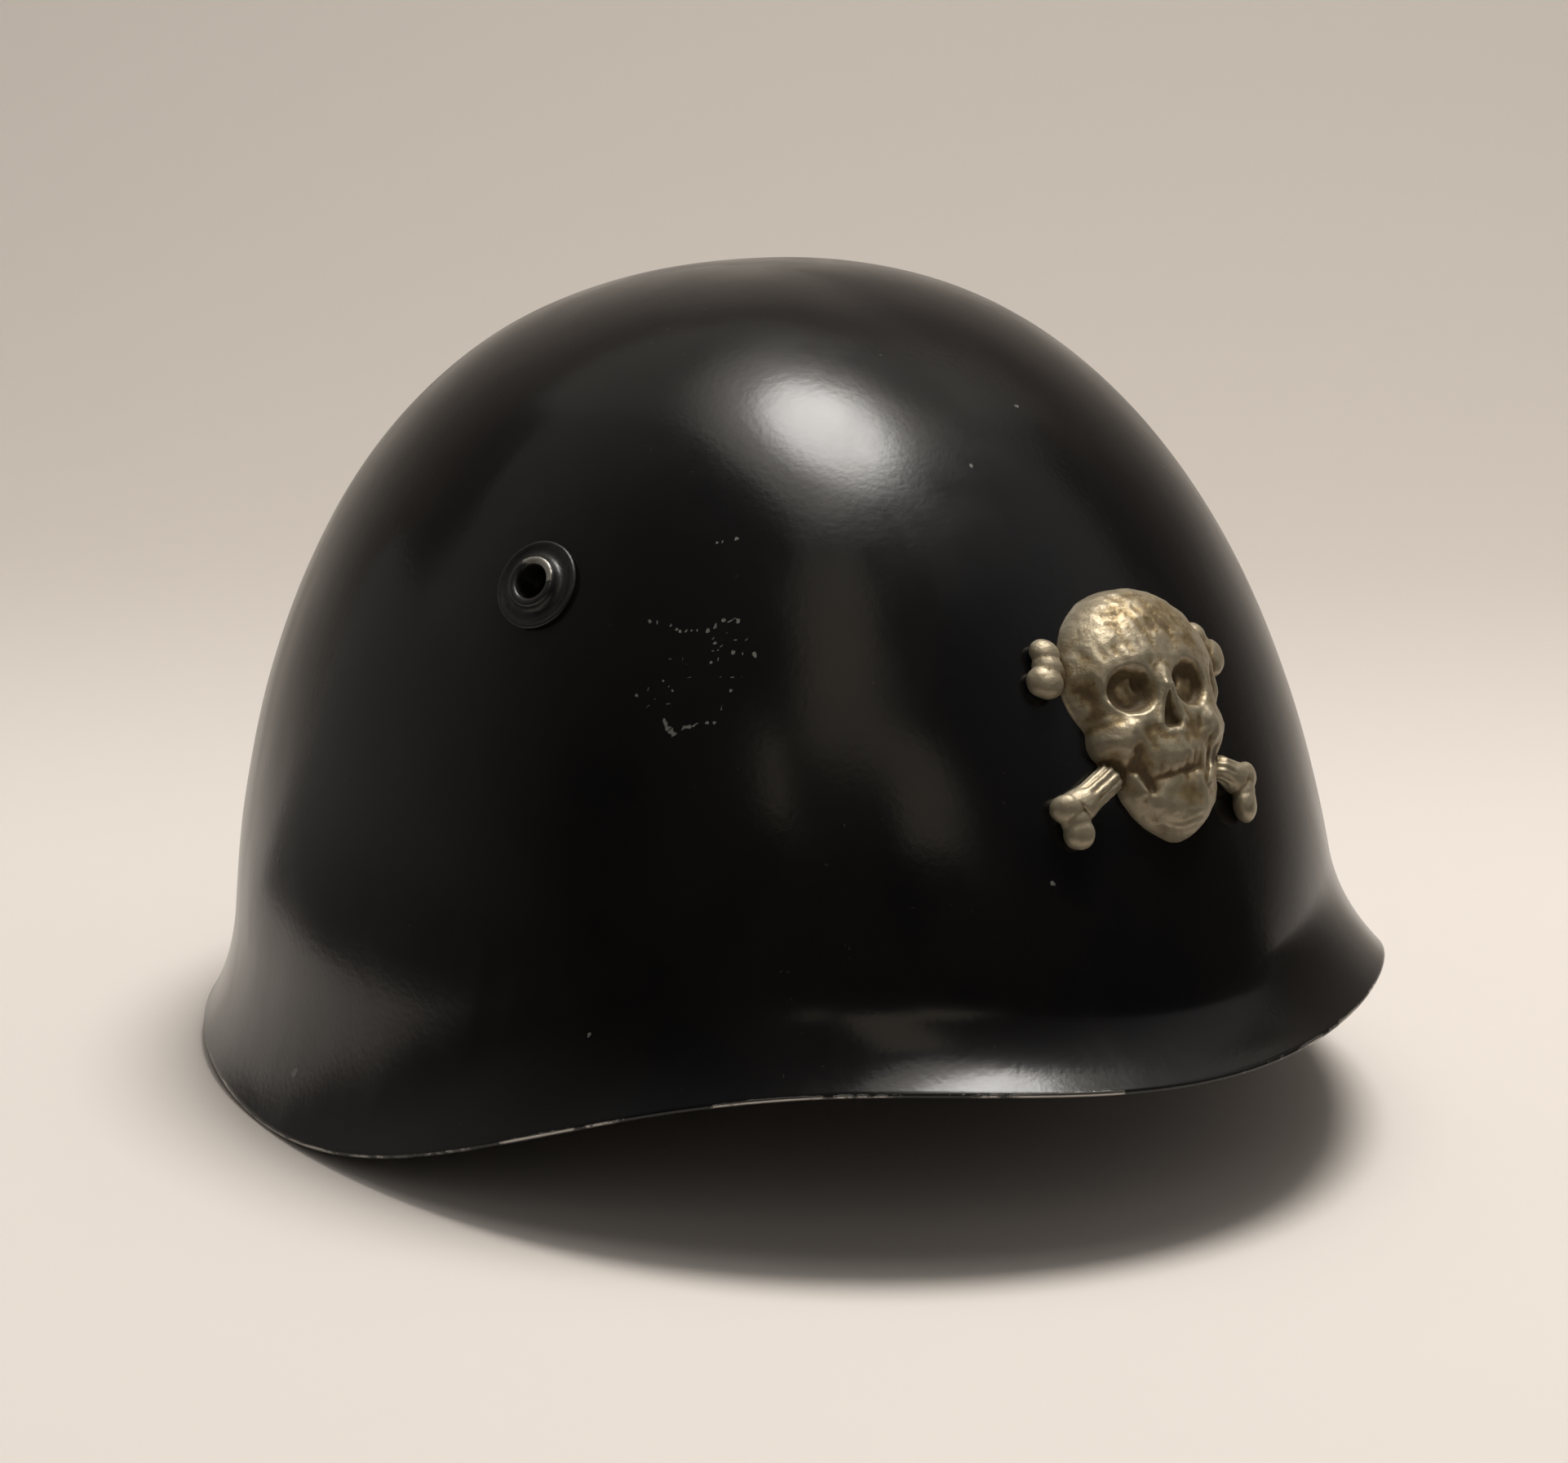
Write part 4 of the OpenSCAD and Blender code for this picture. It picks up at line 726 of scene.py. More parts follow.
def add_rivet(side, angle):
    """A hollow rivet; bare metal shows on its collar: real wear, with a painted highlight that puts most of it
    on the upper right side as the camera sees it, the side that faces the lamp.
    """
    turn, place = shell_frame(math.radians(angle), VENT_Z)
    profile = rounded(RIVET_PROFILE, 0.5, 4)
    points, faces = lathe(profile, turn, place)
    r, h = np.repeat(profile[:, 0], LATHE_STEPS), np.repeat(profile[:, 1], LATHE_STEPS)
    angle_at = np.tile(np.arange(LATHE_STEPS) * 2 * math.pi / LATHE_STEPS, len(profile))
    right, up = camera_axes()[:2]
    aside = np.cos(angle_at)[:, None] * turn[:, 0] + np.sin(angle_at)[:, None] * turn[:, 1]
    # painted highlight: the collar's bare metal is weighted to the side toward the camera's upper right, which
    # faces the lamp, with a thin arc kept on the lower left
    painted_highlight_side = aside @ (np.asarray(right) * 0.62 + np.asarray(up) * 0.78)
    collar = np.exp(-((h - 3.0) / 0.42) ** 2) * (r > 3.6)
    wear = collar * np.clip(0.30 + 0.62 * painted_highlight_side, 0.30 * (painted_highlight_side < -0.55), 1)
    flange = np.exp(-((r - 8.9) / 0.22) ** 2) * (h > 0.5)
    wear = np.maximum(wear, 0.34 * flange * (0.6 + 0.4 * np.cos(angle_at * 3 + 1)))
    points = points + (0.05 * waves(points, 3, 8, 21))[:, None] * np.array([0.3, 0.3, 0.3])
    add_piece("vent_rivet_skin_" + side, points, faces, "helmet", "rivet_paint", ["vent_rivet_" + side],
              wear=wear)


for side, angle in VENTS.items():
    add_rivet(side, angle)


# the badge
BADGE_ANGLE, BADGE_Z, BADGE_ROLL = math.radians(3.5), 94.5, math.radians(5)
# the skull's place, its features' shift to the side, its middle's height and its back's depth
SKULL_X, SKULL_TURN, SKULL_MIDDLE_Y, BED_DEPTH = 1.2, 2.3, 3.0, -0.6
BADGE_VOXEL = 0.00025
badge_normal = normal_at(BADGE_ANGLE, BADGE_Z)


def badge_bed(x, y):
    across = x * math.cos(BADGE_ROLL) + y * math.sin(BADGE_ROLL)
    up = y * math.cos(BADGE_ROLL) - x * math.sin(BADGE_ROLL)
    z = BADGE_Z + up * math.hypot(badge_normal[0], badge_normal[1])
    k = (1 - ((z + RIM_LOW) / CROWN_H) ** FULL[0]) ** (1 / FULL[0])
    return point_at(BADGE_ANGLE + np.arcsin(across / (DOME_HALF_W * k)), z)


def on_badge(x, y, h):
    return badge_bed(x, y) + np.asarray(h)[..., None] * badge_normal


def oval(x, y, cx, cy, rx, ry, turn):
    """A place on the axes of an oval turned by an angle in degrees, in shares of its half axes."""
    a = math.radians(turn)
    dx, dy = x - cx, y - cy
    p, q = dx * math.cos(a) + dy * math.sin(a), dy * math.cos(a) - dx * math.sin(a)
    return p / rx, q / ry


def bell(x, y, cx, cy, rx, ry, turn=0.0, sharp=2.0):
    """A rounded hump of height 1 over an oval."""
    p, q = oval(x, y, cx, cy, rx, ry, turn)
    return np.maximum(0, 1 - p ** 2 - q ** 2) ** sharp


def pit(x, y, cx, cy, rx, ry, turn, wall):
    """A hollow of depth 1 over an oval, with a flat floor and steep walls."""
    p, q = oval(x, y, cx, cy, rx, ry, turn)
    return smooth((1 - np.sqrt(p ** 2 + q ** 2)) / wall)


def stroke(x, y, path, width):
    """A soft line of height 1 along a path of points."""
    best = np.full(np.shape(x), 1e9)
    for (ax, ay), (bx, by) in zip(path, path[1:]):
        dx, dy = bx - ax, by - ay
        t = np.clip(((x - ax) * dx + (y - ay) * dy) / (dx * dx + dy * dy), 0, 1)
        best = np.minimum(best, (x - ax - t * dx) ** 2 + (y - ay - t * dy) ** 2)
    return np.exp(-best / width ** 2)


SKULL_OUTLINE = np.array([(28.2, 0), (28.0, 3.3), (27.3, 6.4), (26.0, 9.5), (24.0, 12.4), (21.4, 15.0),
                          (18.4, 17.0), (15.0, 18.5), (11.0, 19.5), (7.6, 19.7), (4.6, 19.0), (2.4, 17.8),
                          (0.8, 16.7), (-0.8, 17.0), (-2.4, 17.4), (-4.2, 17.0), (-6.0, 15.4),
                          (-7.8, 13.7), (-10, 13.0), (-13.5, 12.1), (-16.6, 10.4), (-19.4, 7.6),
                          (-21.6, 4.4), (-22.8, 1.8), (-23.0, 0)])
SKULL_RIDGE = np.array([(28.2, 0.6), (27.6, 3.6), (26.4, 5.6), (24, 7.6), (20.5, 9.0), (16.5, 9.8),
                        (13, 10.0), (9, 9.6), (5, 9.3), (0, 9.0), (-3, 8.9), (-6.5, 8.7), (-9, 8.1),
                        (-12, 7.6), (-15, 7.3), (-18, 6.8), (-20.5, 5.6), (-22.2, 3.4), (-23.0, 0.6)])


def skull_height(x, y):
    """The skull's relief over the shell, in its own frame: x across the face, y up."""
    w = np.maximum(np.interp(-y, -SKULL_OUTLINE[:, 0], SKULL_OUTLINE[:, 1]), 0.05)
    top = np.interp(-y, -SKULL_RIDGE[:, 0], SKULL_RIDGE[:, 1])
    r = np.clip(np.abs(x) / w, 0, 1)
    jaw = smooth((0 - y) / 9)
    h = top * (1 - r ** lerp(2.3, 2.6, jaw)) ** lerp(0.46, 0.60, jaw)
    x = x + SKULL_TURN
    m = np.abs(x)
    # brows, bridge of the nose and cheekbones
    h = h + 0.5 * bell(m, y, 7.4, 12.9, 7.5, 3.2, -8) + 0.2 * bell(x, y, 0, 11.2, 3.6, 3.4)
    h = h + 1.2 * bell(x, y, 0, 6.4, 2.4, 5.0, 0, 1.2)
    h = h + 1.5 * bell(m, y, 12.2, -1.8, 6.4, 4.4, 20, 1.2) + 0.5 * bell(m, y, 7.6, 0.4, 4.4, 2.4, -14, 1.3)
    # sockets, temples and the hollows under the cheekbones
    h = h - pit(m, y, 7.2, 6.7, 5.6, 5.2, -8, 0.42) * 2.7 - 0.9 * bell(m, y, 4.6, 8.2, 2.0, 2.2)
    h = h - 2.3 * pit(x, y, -15.2, 5.8, 3.5, 6.2, 6, 0.6) - 1.6 * pit(x, y, 17.4, 5.8, 3.3, 6.0, -6, 0.7)
    h = h - 1.5 * bell(m, y, 11.8, -7.2, 4.4, 2.9, 22, 1.2)
    # nose opening, wider at its foot, between two low rims
    half = np.interp(y, [-1.6, -0.5, 5.4, 6.2], [2.0, 2.6, 0.6, 0.1])
    hole = smooth((half - m) / 1.0) * smooth((y + 1.7) / 1.0) * smooth((6.4 - y) / 1.2)
    h = h - 1.9 * hole + 0.42 * stroke(m, y, [(1.0, 6.8), (3.4, -0.4)], 0.6)
    h = h + 0.35 * bell(m, y, 1.2, -2.3, 1.3, 0.9, 0, 1)
    # upper jaw, mouth, teeth and lower jaw
    h = h + 0.5 * bell(x, y, 0, -6.4, 7.4, 3.8)
    mouth = y + 10.0 + 0.012 * x * x - 0.10 * x
    h = h - 0.62 * np.exp(-(mouth / 1.0) ** 2) * smooth((7.2 - m) / 2.4)
    teeth = 0.5 + 0.5 * np.cos((x + 0.4) * 2 * math.pi / 2.0)
    h = h - 0.26 * teeth ** 3 * np.exp(-((mouth - 1.7) / 1.1) ** 2) * smooth((6.6 - m) / 1.6)
    h = h - 0.12 * teeth ** 3 * np.exp(-((mouth + 1.6) / 0.9) ** 2) * smooth((6.0 - m) / 1.6)
    h = h - 1.25 * stroke(x, y, [(-8.6, -4.8), (-7.4, -8.6), (-6.0, -12.6)], 1.15)
    h = h - 0.7 * stroke(x, y, [(9.2, -4.6), (8.0, -9.6)], 1.3)
    h = h + 0.75 * stroke(m, y, [(10.7, -5.2), (9.4, -9.4), (7.6, -13.2)], 0.75)
    h = h - 0.45 * bell(x, y, 0, -14.6, 5.4, 2.6)
    h = h - 0.22 * stroke(x, y, [(-5.4, -18.4), (0, -20.3), (4.4, -19.4)], 0.5)
    h = h + 0.3 * stroke(x, y, [(-6.0, -19.2), (0, -21.2), (4.6, -20.4)], 0.6)
    # cast surface: slight lumps and dents
    p = np.stack([x, y, 0 * x], -1).reshape(-1, 3)
    h = h + 0.16 * waves(p, 6.0, 12, 31).reshape(h.shape) + 0.08 * waves(p, 2.4, 14, 32).reshape(h.shape)
    return np.maximum(h, 0.35)


def skull_mesh():
    """A closed skin: rays from the middle out to the outline, over a back that lies in the shell."""
    rays, rings = ((420, 130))
    a = np.linspace(0, 2 * math.pi, rays, False)
    t = np.linspace(0, 60, 2400)
    reach = np.empty(rays)
    for i, v in enumerate(a):
        x, y = t * math.cos(v), SKULL_MIDDLE_Y + t * math.sin(v)
        w = np.interp(-y, -SKULL_OUTLINE[:, 0], SKULL_OUTLINE[:, 1], left=-1, right=-1)
        reach[i] = t[np.argmax(np.abs(x) >= w)]
    reach = np.convolve(np.concatenate([reach[-3:], reach, reach[:3]]), np.ones(7) / 7, "valid")
    share = np.linspace(0, 1, rings + 1)[1:] ** 0.8
    x = share[:, None] * reach * np.cos(a)
    y = SKULL_MIDDLE_Y + share[:, None] * reach * np.sin(a)
    h = np.where(share[:, None] > 0.999, 0.3, skull_height(x, y))
    x0, y0 = np.zeros(1), np.full(1, SKULL_MIDDLE_Y)
    front = on_badge(x + SKULL_X, y, h)
    rear = on_badge((x + SKULL_X)[::-1], y[::-1], np.full_like(h, BED_DEPTH))
    poles = [on_badge(x0 + SKULL_X, y0, v) for v in (skull_height(x0, y0), np.full(1, BED_DEPTH))]
    points = np.concatenate([front.reshape(-1, 3), rear.reshape(-1, 3), *poles])
    return points, grid_faces(2 * rings, rays).tolist() + fan_faces(2 * rings, rays)


# each bone end: the shaft's end, half width and start, then its two lobes as (x, y, height, half axes)
BONES = [((-18.8, 12.0), 2.6, 20.8,
          [(-20.8, 16.3, 2.1, 2.7, 2.8, 2.4), (-22.6, 10.6, 2.2, 3.3, 3.3, 2.8)]),
         ((20.2, 13.4), 2.6, 21.5,
          [(21.6, 12.2, 2.2, 3.5, 3.8, 2.9), (18.8, 16.6, 2.1, 3.0, 3.0, 2.6)]),
         ((-22.4, -14.6), 2.95, 12.8,
          [(-24.7, -14.9, 2.2, 3.1, 3.0, 2.8), (-23.2, -20.0, 2.2, 2.8, 3.3, 2.7)]),
         ((20.6, -12.6), 2.7, 15.0,
          [(22.8, -12.8, 2.1, 3.0, 3.2, 2.6), (21.2, -18.0, 2.1, 2.8, 4.0, 2.6)])]


def bone_meshes():
    """Four bone ends as fluted shafts with two lobes each."""
    out = []
    steps, sides = 80, 72
    a = np.linspace(0, 2 * math.pi, sides, False)
    for end, half, start, lobes in BONES:
        length = np.linalg.norm(end)
        dx, dy = np.array(end) / length
        along = np.linspace(start, length + 0.6, steps)
        width = half + 0.5 * smooth((along - length + 5) / 5) + 0.3 * smooth((12 - along) / 8)
        flute = smooth((length - 1.8 - along) / 2.5)[:, None]
        ripple = 1 - 0.17 * (0.5 + 0.5 * np.cos(a * 10 + 0.6))[None, :] ** 2 * flute
        off = width[:, None] * np.cos(a) * ripple
        dive = 1.8 - 3.2 * smooth((start + 4.2 - along) / 4.2)[:, None]
        h = dive + (width[:, None] * 0.95) * np.sin(a) * ripple
        ring = on_badge(dx * along[:, None] - dy * off, dy * along[:, None] + dx * off, h)
        ends = along[[0, -1]]
        points = np.concatenate([ring.reshape(-1, 3), on_badge(dx * ends, dy * ends, np.array([-1.4, 1.8]))])
        faces = grid_faces(steps, sides, flip=True).tolist() + fan_faces(steps, sides, flip=True)
        out.append((points, faces))
        (ax, ay, ah, *_), (bx, by, bh, *_) = lobes
        out += [lump(*lobe) for lobe in lobes]
        out.append(lump((ax + bx) / 2 + dx * -0.6, (ay + by) / 2, (ah + bh) / 2, 2.7, 3.2, 2.5))
    return out


def lump(cx, cy, ch, rx, ry, rh):
    """A closed egg shape on the badge: its middle and its half axes."""
    steps, rings = 40, 20
    a, b = np.linspace(0, 2 * math.pi, steps, False), np.linspace(0, math.pi, rings + 2)[1:-1]
    x = cx + rx * np.sin(b)[:, None] * np.cos(a)
    y = cy + ry * np.sin(b)[:, None] * np.sin(a)
    h = ch + rh * np.cos(b)[:, None] * np.ones(steps)
    poles = on_badge(np.full(2, cx), np.full(2, cy), np.array([ch + rh, ch - rh]))
    points = np.concatenate([on_badge(x, y, h).reshape(-1, 3), poles])
    return points, grid_faces(rings, steps).tolist() + fan_faces(rings, steps)


def mark_hollows(data, p, n):
    """The attribute cavity, 1 in a hollow and -1 on a ridge: each point's depth under smoother surfaces."""
    count = len(p)
    pairs = values_of(data.edges, "vertices", 2, int)
    degree = np.bincount(pairs.ravel(), minlength=count)[:, None]

    def average(values, times):
        for _ in range(times):
            total = [np.bincount(pairs[:, 0], values[pairs[:, 1], i], count)
                     + np.bincount(pairs[:, 1], values[pairs[:, 0], i], count) for i in range(3)]
            values = np.stack(total, 1) / np.maximum(degree, 1)
        return values

    near_times = round(4 * (0.0005 / BADGE_VOXEL) ** 2)
    near = average(p, near_times)
    middle = average(near, 5 * near_times)
    wide = average(middle, 26 * near_times)
    cavity = 0
    for smoothed, reach, weight in ((near, 0.00010, 0.4), (middle, 0.00050, 0.55), (wide, 0.0016, 0.7)):
        cavity = cavity + np.clip(((smoothed - p) * n).sum(1) / reach, -1, 1) * weight
    cavity = np.clip(cavity, -1, 1).astype(np.float32)
    data.attributes.new("cavity", "FLOAT", "POINT").data.foreach_set("value", cavity)


def add_badge():
    """The skull and bones fused into one casting, with fine lumps and a mark of its hollows."""
    points, faces, first = [], [], 0
    for p, f in [skull_mesh()] + bone_meshes():
        points.append(p)
        faces += [[v + first for v in face] for face in f]
        first += len(p)
    o = add_piece("badge_cast", np.concatenate(points), faces, "helmet", "badge_brass", ["badge"])
    remesh = o.modifiers.new("fuse", "REMESH")
    remesh.mode, remesh.voxel_size, remesh.use_smooth_shade = "VOXEL", BADGE_VOXEL, True
    soften = o.modifiers.new("soften", "SMOOTH")
    soften.factor, soften.iterations = 0.5, 3
    apply_modifiers(o)
    o.data.materials.clear()
    o.data.materials.append(SLOTS["badge_brass"])
    o.data.shade_smooth()
    p, n = values_of(o.data.vertices, "co", 3), values_of(o.data.vertex_normals, "vector", 3)
    in_mm = p * 1000
    p = p + n * (0.00006 * waves(in_mm, 4.6, 14, 33) + 0.000018 * waves(in_mm, 1.9, 14, 34))[:, None]
    o.data.vertices.foreach_set("co", p.ravel())
    o.data.update()
    mark_hollows(o.data, p, n)


add_badge()


# the liner's leather, felt and lace
HEAD_W, HEAD_L, BAND_Z, BAND_H = 83.0, 99.0, 28.0, 22.0
LEATHER_T, SWEAT_LOW, SWEAT_TOP, TONGUES, RISE, END = 1.8, 24.0, 52.0, 8, 88.0, math.radians(76)
PITCH, HEAD_R, LINER_RIVET_Z = 2 * math.pi / TONGUES, (HEAD_W + HEAD_L) / 2, 33
# a tongue's widths in shares of the pitch, where its tip begins and the lace runs, the gap's columns
TONGUE_FOOT, TONGUE_TIP, TIP_START, LACE_AT, GAP_COLUMNS = 0.955, 0.68, 0.93, 0.955, 3


def leather_middle(u, v):
    """The middle of the leather: v runs from -1 at the band's foot over 0 to 1 at the tongues' tips."""
    a = END * np.maximum(0, v)
    z = np.where(v < 0, lerp(SWEAT_TOP, SWEAT_LOW, -v), SWEAT_TOP + RISE * np.sin(a))
    slant = np.where(v < 0, 0, np.sin(a))
    grow = LEATHER_T / 2
    return np.stack([(HEAD_W * np.cos(a) + grow * (1 - slant)) * np.sin(u),
                     -(HEAD_L * np.cos(a) + grow * (1 - slant)) * np.cos(u), z + grow * slant], -1)


def leather_out(u, v):
    a = END * np.maximum(0, v)
    return unit(np.stack([np.cos(a) * np.sin(u), -np.cos(a) * np.cos(u), np.where(v < 0, 0, np.sin(a))], -1))


def rivet_offset(u, width):
    """How far an angle lies from the liner's nearest rivet, in shares of a width in millimetres."""
    return ((u / PITCH) % 1 - 0.5) * PITCH * HEAD_R / width


def add_leather():
    """The sweatband and its tongues as one sheet, given its thickness at the end."""
    across, up, low = ((34, 90, 26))
    points, edge, crease, index, faces = [], [], [], {}, []

    def vertex(t, c, v):
        """t is the tongue, c runs from -1 to 1 across it, v along it; v of the sweatband is negative."""
        w = max(0.0, v)
        width = lerp(TONGUE_FOOT, TONGUE_TIP, w) - 0.04 * (1 - math.exp(-w / 0.03))
        if v > TIP_START:
            width *= math.sqrt(max(0.0, 1 - ((v - TIP_START) / 0.074) ** 2)) * 0.75 + 0.25
        if v < 0:
            width = TONGUE_FOOT
        u = PITCH * (t + width * c / 2)
        p, n = leather_middle(np.float64(u), np.float64(v)), leather_out(np.float64(u), np.float64(v))
        rise = smooth(w * 4)
        bulge = -1.1 * (1 - c * c) * rise * (1 - 0.5 * w) + 0.5 * c ** 8 * rise
        folds = 0.55 * waves(p[None], 34, 8, 41)[0] + 0.16 * waves(p[None], 11, 8, 42)[0]
        bulge += folds * (0.35 + 0.65 * rise)
        pinch = math.exp(-rivet_offset(u, 7) ** 2 - ((p[2] - LINER_RIVET_Z) / 6) ** 2)
        return p + n * (bulge + 0.5 * pinch - 0.35 * (v < 0) * (1 - pinch))

    def put(key, p, e, k):
        if key not in index:
            index[key] = len(points)
            points.append(p)
            edge.append(e)
            crease.append(k)
        return index[key]

    def wrinkle(c, v, t):
        w = math.sin(46 * v + 2.2 * math.sin(3 * c + t) + t * 1.7) * math.exp(-((v - 0.16) / 0.15) ** 2)
        return max(0.0, w - 0.45) * 1.6

    columns = np.linspace(-1, 1, across + 1)
    tongue_rows, band_rows = np.linspace(0, 1, up + 1), np.linspace(-1, 0, low + 1)
    for t in range(TONGUES):
        ids = {}
        for i, v in enumerate(band_rows):
            for j, c in enumerate(columns):
                ids[i, j] = put((t, i - low, j), vertex(t, c, v), float(i == 0), 0.0)
        for i, v in enumerate(tongue_rows[1:], 1):
            for j, c in enumerate(columns):
                cut_edge = float(j in (0, across) or i == up)
                ids[low + i, j] = put((t, i, j), vertex(t, c, v), cut_edge, wrinkle(c, v, t))
        for i in range(low + up):
            for j in range(across):
                faces.append([ids[i, j], ids[i, j + 1], ids[i + 1, j + 1], ids[i + 1, j]])
        for i in range(low):
            lines = []
            for r in (i, i + 1):
                v, line = band_rows[r], [ids[r, across]]
                for g in range(1, GAP_COLUMNS):
                    c = 1 + (2 / TONGUE_FOOT - 2) * g / GAP_COLUMNS
                    line.append(put((t, r - low, "gap", g), vertex(t, c, v), float(r in (0, low)), 0.0))
                line.append(put(((t + 1) % TONGUES, r - low, 0), vertex(t + 1, -1, v), float(r == 0), 0.0))
                lines.append(line)
            foot, head = lines
            faces += [[foot[g], foot[g + 1], head[g + 1], head[g]] for g in range(GAP_COLUMNS)]
    o = add_piece("liner_leather", points, faces, "helmet", "leather", ["leather_liner"],
                  edge=edge, crease=crease)
    o.modifiers.new("weld", "WELD").merge_threshold = 0.00001
    thick = o.modifiers.new("thick", "SOLIDIFY")
    thick.thickness, thick.offset = LEATHER_T * MM, 0
    apply_modifiers(o)
    o.data.shade_smooth()
    for t in range(TONGUES):
        cut_hole(o, np.eye(3), leather_middle(np.float64(PITCH * t), np.float64(LACE_AT)), 2.9)


def add_felt():
    """The felt ring, pressed in at the liner's rivets."""
    columns, sides = ((480, 40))
    inner, outer, low, high = 2.15, 7.05, BAND_Z + 1, BAND_Z + BAND_H - 1
    a = np.linspace(0, 2 * math.pi, sides, False)
    c, s = np.sign(np.cos(a)) * np.abs(np.cos(a)) ** 0.35, np.sign(np.sin(a)) * np.abs(np.sin(a)) ** 0.22
    points = []
    for v in np.linspace(0, 2 * math.pi, columns, False):
        pinch = math.exp(-rivet_offset(v, 9) ** 2)
        half = (outer - inner) / 2
        grow = (inner + outer) / 2 + c * half * (1 - 0.10 * pinch)
        z = (low + high) / 2 + s * ((high - low) / 2 - 0.5 * pinch)
        points.append(np.stack([(HEAD_W + grow) * math.sin(v), -(HEAD_L + grow) * math.cos(v), z], -1))
    points = np.concatenate(points)
    lumps = 0.22 * waves(points, 16, 10, 51) + 0.1 * waves(points, 5, 10, 52)
    points = points + lumps[:, None] * np.array([0.2, 0.2, 1.0])
    last = (columns - 1) * sides
    faces = grid_faces(columns, sides, flip=True).tolist()
    faces += [[last + j, j, (j + 1) % sides, last + (j + 1) % sides] for j in range(sides)]
    add_piece("felt_ring", points, faces, "helmet", "felt", ["felt_pad"])


def strand_loop(p, radius, sides, twist, lobes, depth):
    """A closed round tube along points; lobes and twist give it the strands of a laid cord."""
    d = directions(p, True)
    side = unit(np.cross(d, [0.013, 0.021, 1.0]))
    up = np.cross(side, d)
    a = np.linspace(0, 2 * math.pi, sides, False)
    r = radius * (1 + depth * np.cos(lobes * (a[None, :] + twist * run_along(p)[:, None])))
    round_p = np.cos(a)[None, :, None] * side[:, None] + np.sin(a)[None, :, None] * up[:, None]
    points = (p[:, None] + r[..., None] * round_p).reshape(-1, 3)
    return points, grid_faces(len(p), sides).tolist() + join_faces(len(p), sides)


def add_lace():
    """The drawstring, weaving up and down through the holes of the tongues' tips."""
    u = np.linspace(0, 2 * math.pi, 720, False)
    p = leather_middle(u, np.full(len(u), LACE_AT))
    p[:, 2] += 4.2 * np.sin(TONGUES * u)
    points, faces = strand_loop(p, 0.98, 15, 0.9, 3, 0.10)
    add_piece("lace_loop", points, [f[::-1] for f in faces], "helmet", "lace", ["crown_lace"])


# the straps
STRAP_W, STRAP_T, ARCH_W, ARCH_Z, ARCH_RISE = 15.0, 1.8, 72.0, 82.0, 42.0
BAR_X, BAR_Z, BUCKLE_Z, KEEPER_Z, KEEPER_T = 93.3, 11.5, 62.0, 40.0, 1.4
STRAP_HOLE_R, STRAP_HOLE_STEP, GROOVE_AT = 1.5, 13, 0.835
# where the strap's points lie over its half width, close together at the stitched groove
STRAP_LINE = (0.0, 0.25, 0.5, 0.7, 0.80, GROOVE_AT, 0.87, 0.92, 0.97)


def arc(cx, cz, r, start, end, steps=16):
    """Points on a circle, or on an ellipse where r is a pair of half axes; the angles are in degrees."""
    rx, rz = r if isinstance(r, tuple) else (r, r)
    angles = [math.radians(a) for a in np.linspace(start, end, steps)]
    return [(cx + rx * math.cos(a), cz + rz * math.sin(a)) for a in angles]


def even(route, step, passes=3):
    """Points at even steps along a route, with its corners eased."""
    p = np.asarray(route, float)
    for _ in range(2):
        s = run_along(p)
        t = np.linspace(0, s[-1], max(4, int(s[-1] / step)) + 1)
        p = np.stack([np.interp(t, s, p[:, k]) for k in range(p.shape[1])], -1)
        for _ in range(passes):
            p[1:-1] = (p[:-2] + 2 * p[1:-1] + p[2:]) / 4
    return p


def add_strap(name, p, body, replaces, width=STRAP_W, thick=STRAP_T, tip=None, closed=False):
    """A flat leather strap along (x, z) points, its width along y; tip is the length of its rounded end."""
    d = directions(p, closed)
    n = np.stack([-d[:, 1], d[:, 0]], -1)
    half, t = width / 2, thick / 2
    line = [half * f for f in STRAP_LINE]
    face = [-v for v in line[::-1]] + line[1:]
    side = [(half, t * 0.62), (half, -t * 0.62)]
    ring = [(y, t) for y in face] + side + [(-y, -t) for y in face] + [(-y, -h) for y, h in side]
    ring = np.array(ring)
    groove = np.isclose(np.abs(ring[:, 0]), half * GROOVE_AT)
    far = run_along(p)
    left = far[-1] - far
    rows = []
    for i in range(len(p)):
        narrow = 1.0
        if tip and left[i] < tip:
            narrow = 0.35 + 0.65 * math.sqrt(max(0.0, 1 - (1 - left[i] / tip) ** 2.2))
        h = ring[:, 1] - np.where(groove, 0.22, 0) * np.sign(ring[:, 1])
        h = h * (1 - 0.10 * (ring[:, 0] / half) ** 6)
        rows.append(np.stack([p[i, 0] + n[i, 0] * h, ring[:, 0] * narrow, p[i, 1] + n[i, 1] * h], -1))
    points = np.concatenate(rows)
    wobble = 0.10 * waves(points, 22, 8, 61)
    points = points + wobble[:, None] * np.repeat(np.stack([n[:, 0], 0 * n[:, 0], n[:, 1]], -1), len(ring), 0)
    rows, m = len(p), len(ring)
    faces = grid_faces(rows, m).tolist() + (join_faces(rows, m) if closed else end_faces(rows, m))
    edge = np.tile((np.abs(ring[:, 1]) < t * 0.7).astype(float), rows)
    crease = np.tile(groove.astype(float), rows)
    return add_piece(name, points, faces, body, "strap_leather", replaces, edge=edge, crease=crease)


def turn_to(direction):
    return np.array(Vector(direction).to_track_quat("Z", "Y").to_matrix())


def bail_end(side):
    """The strap's end round a bail: down, round the bend, over the bail's bar and back up."""
    route = [(73, 28), (73, 18.5)] + arc(79, 18.5, 6, 180, 270) + [(84, 12.5), (88.5, 13.0)]
    route += arc(BAR_X, BAR_Z, 2.4, 112, -112, 22) + [(88.5, 10.0), (84, 10.5)]
    route += arc(79, 18.5, 8, 270, 180) + [(71, 19), (71, 30)]
    p = even(route, 0.7, 2)
    p[:, 0] *= side
    return p


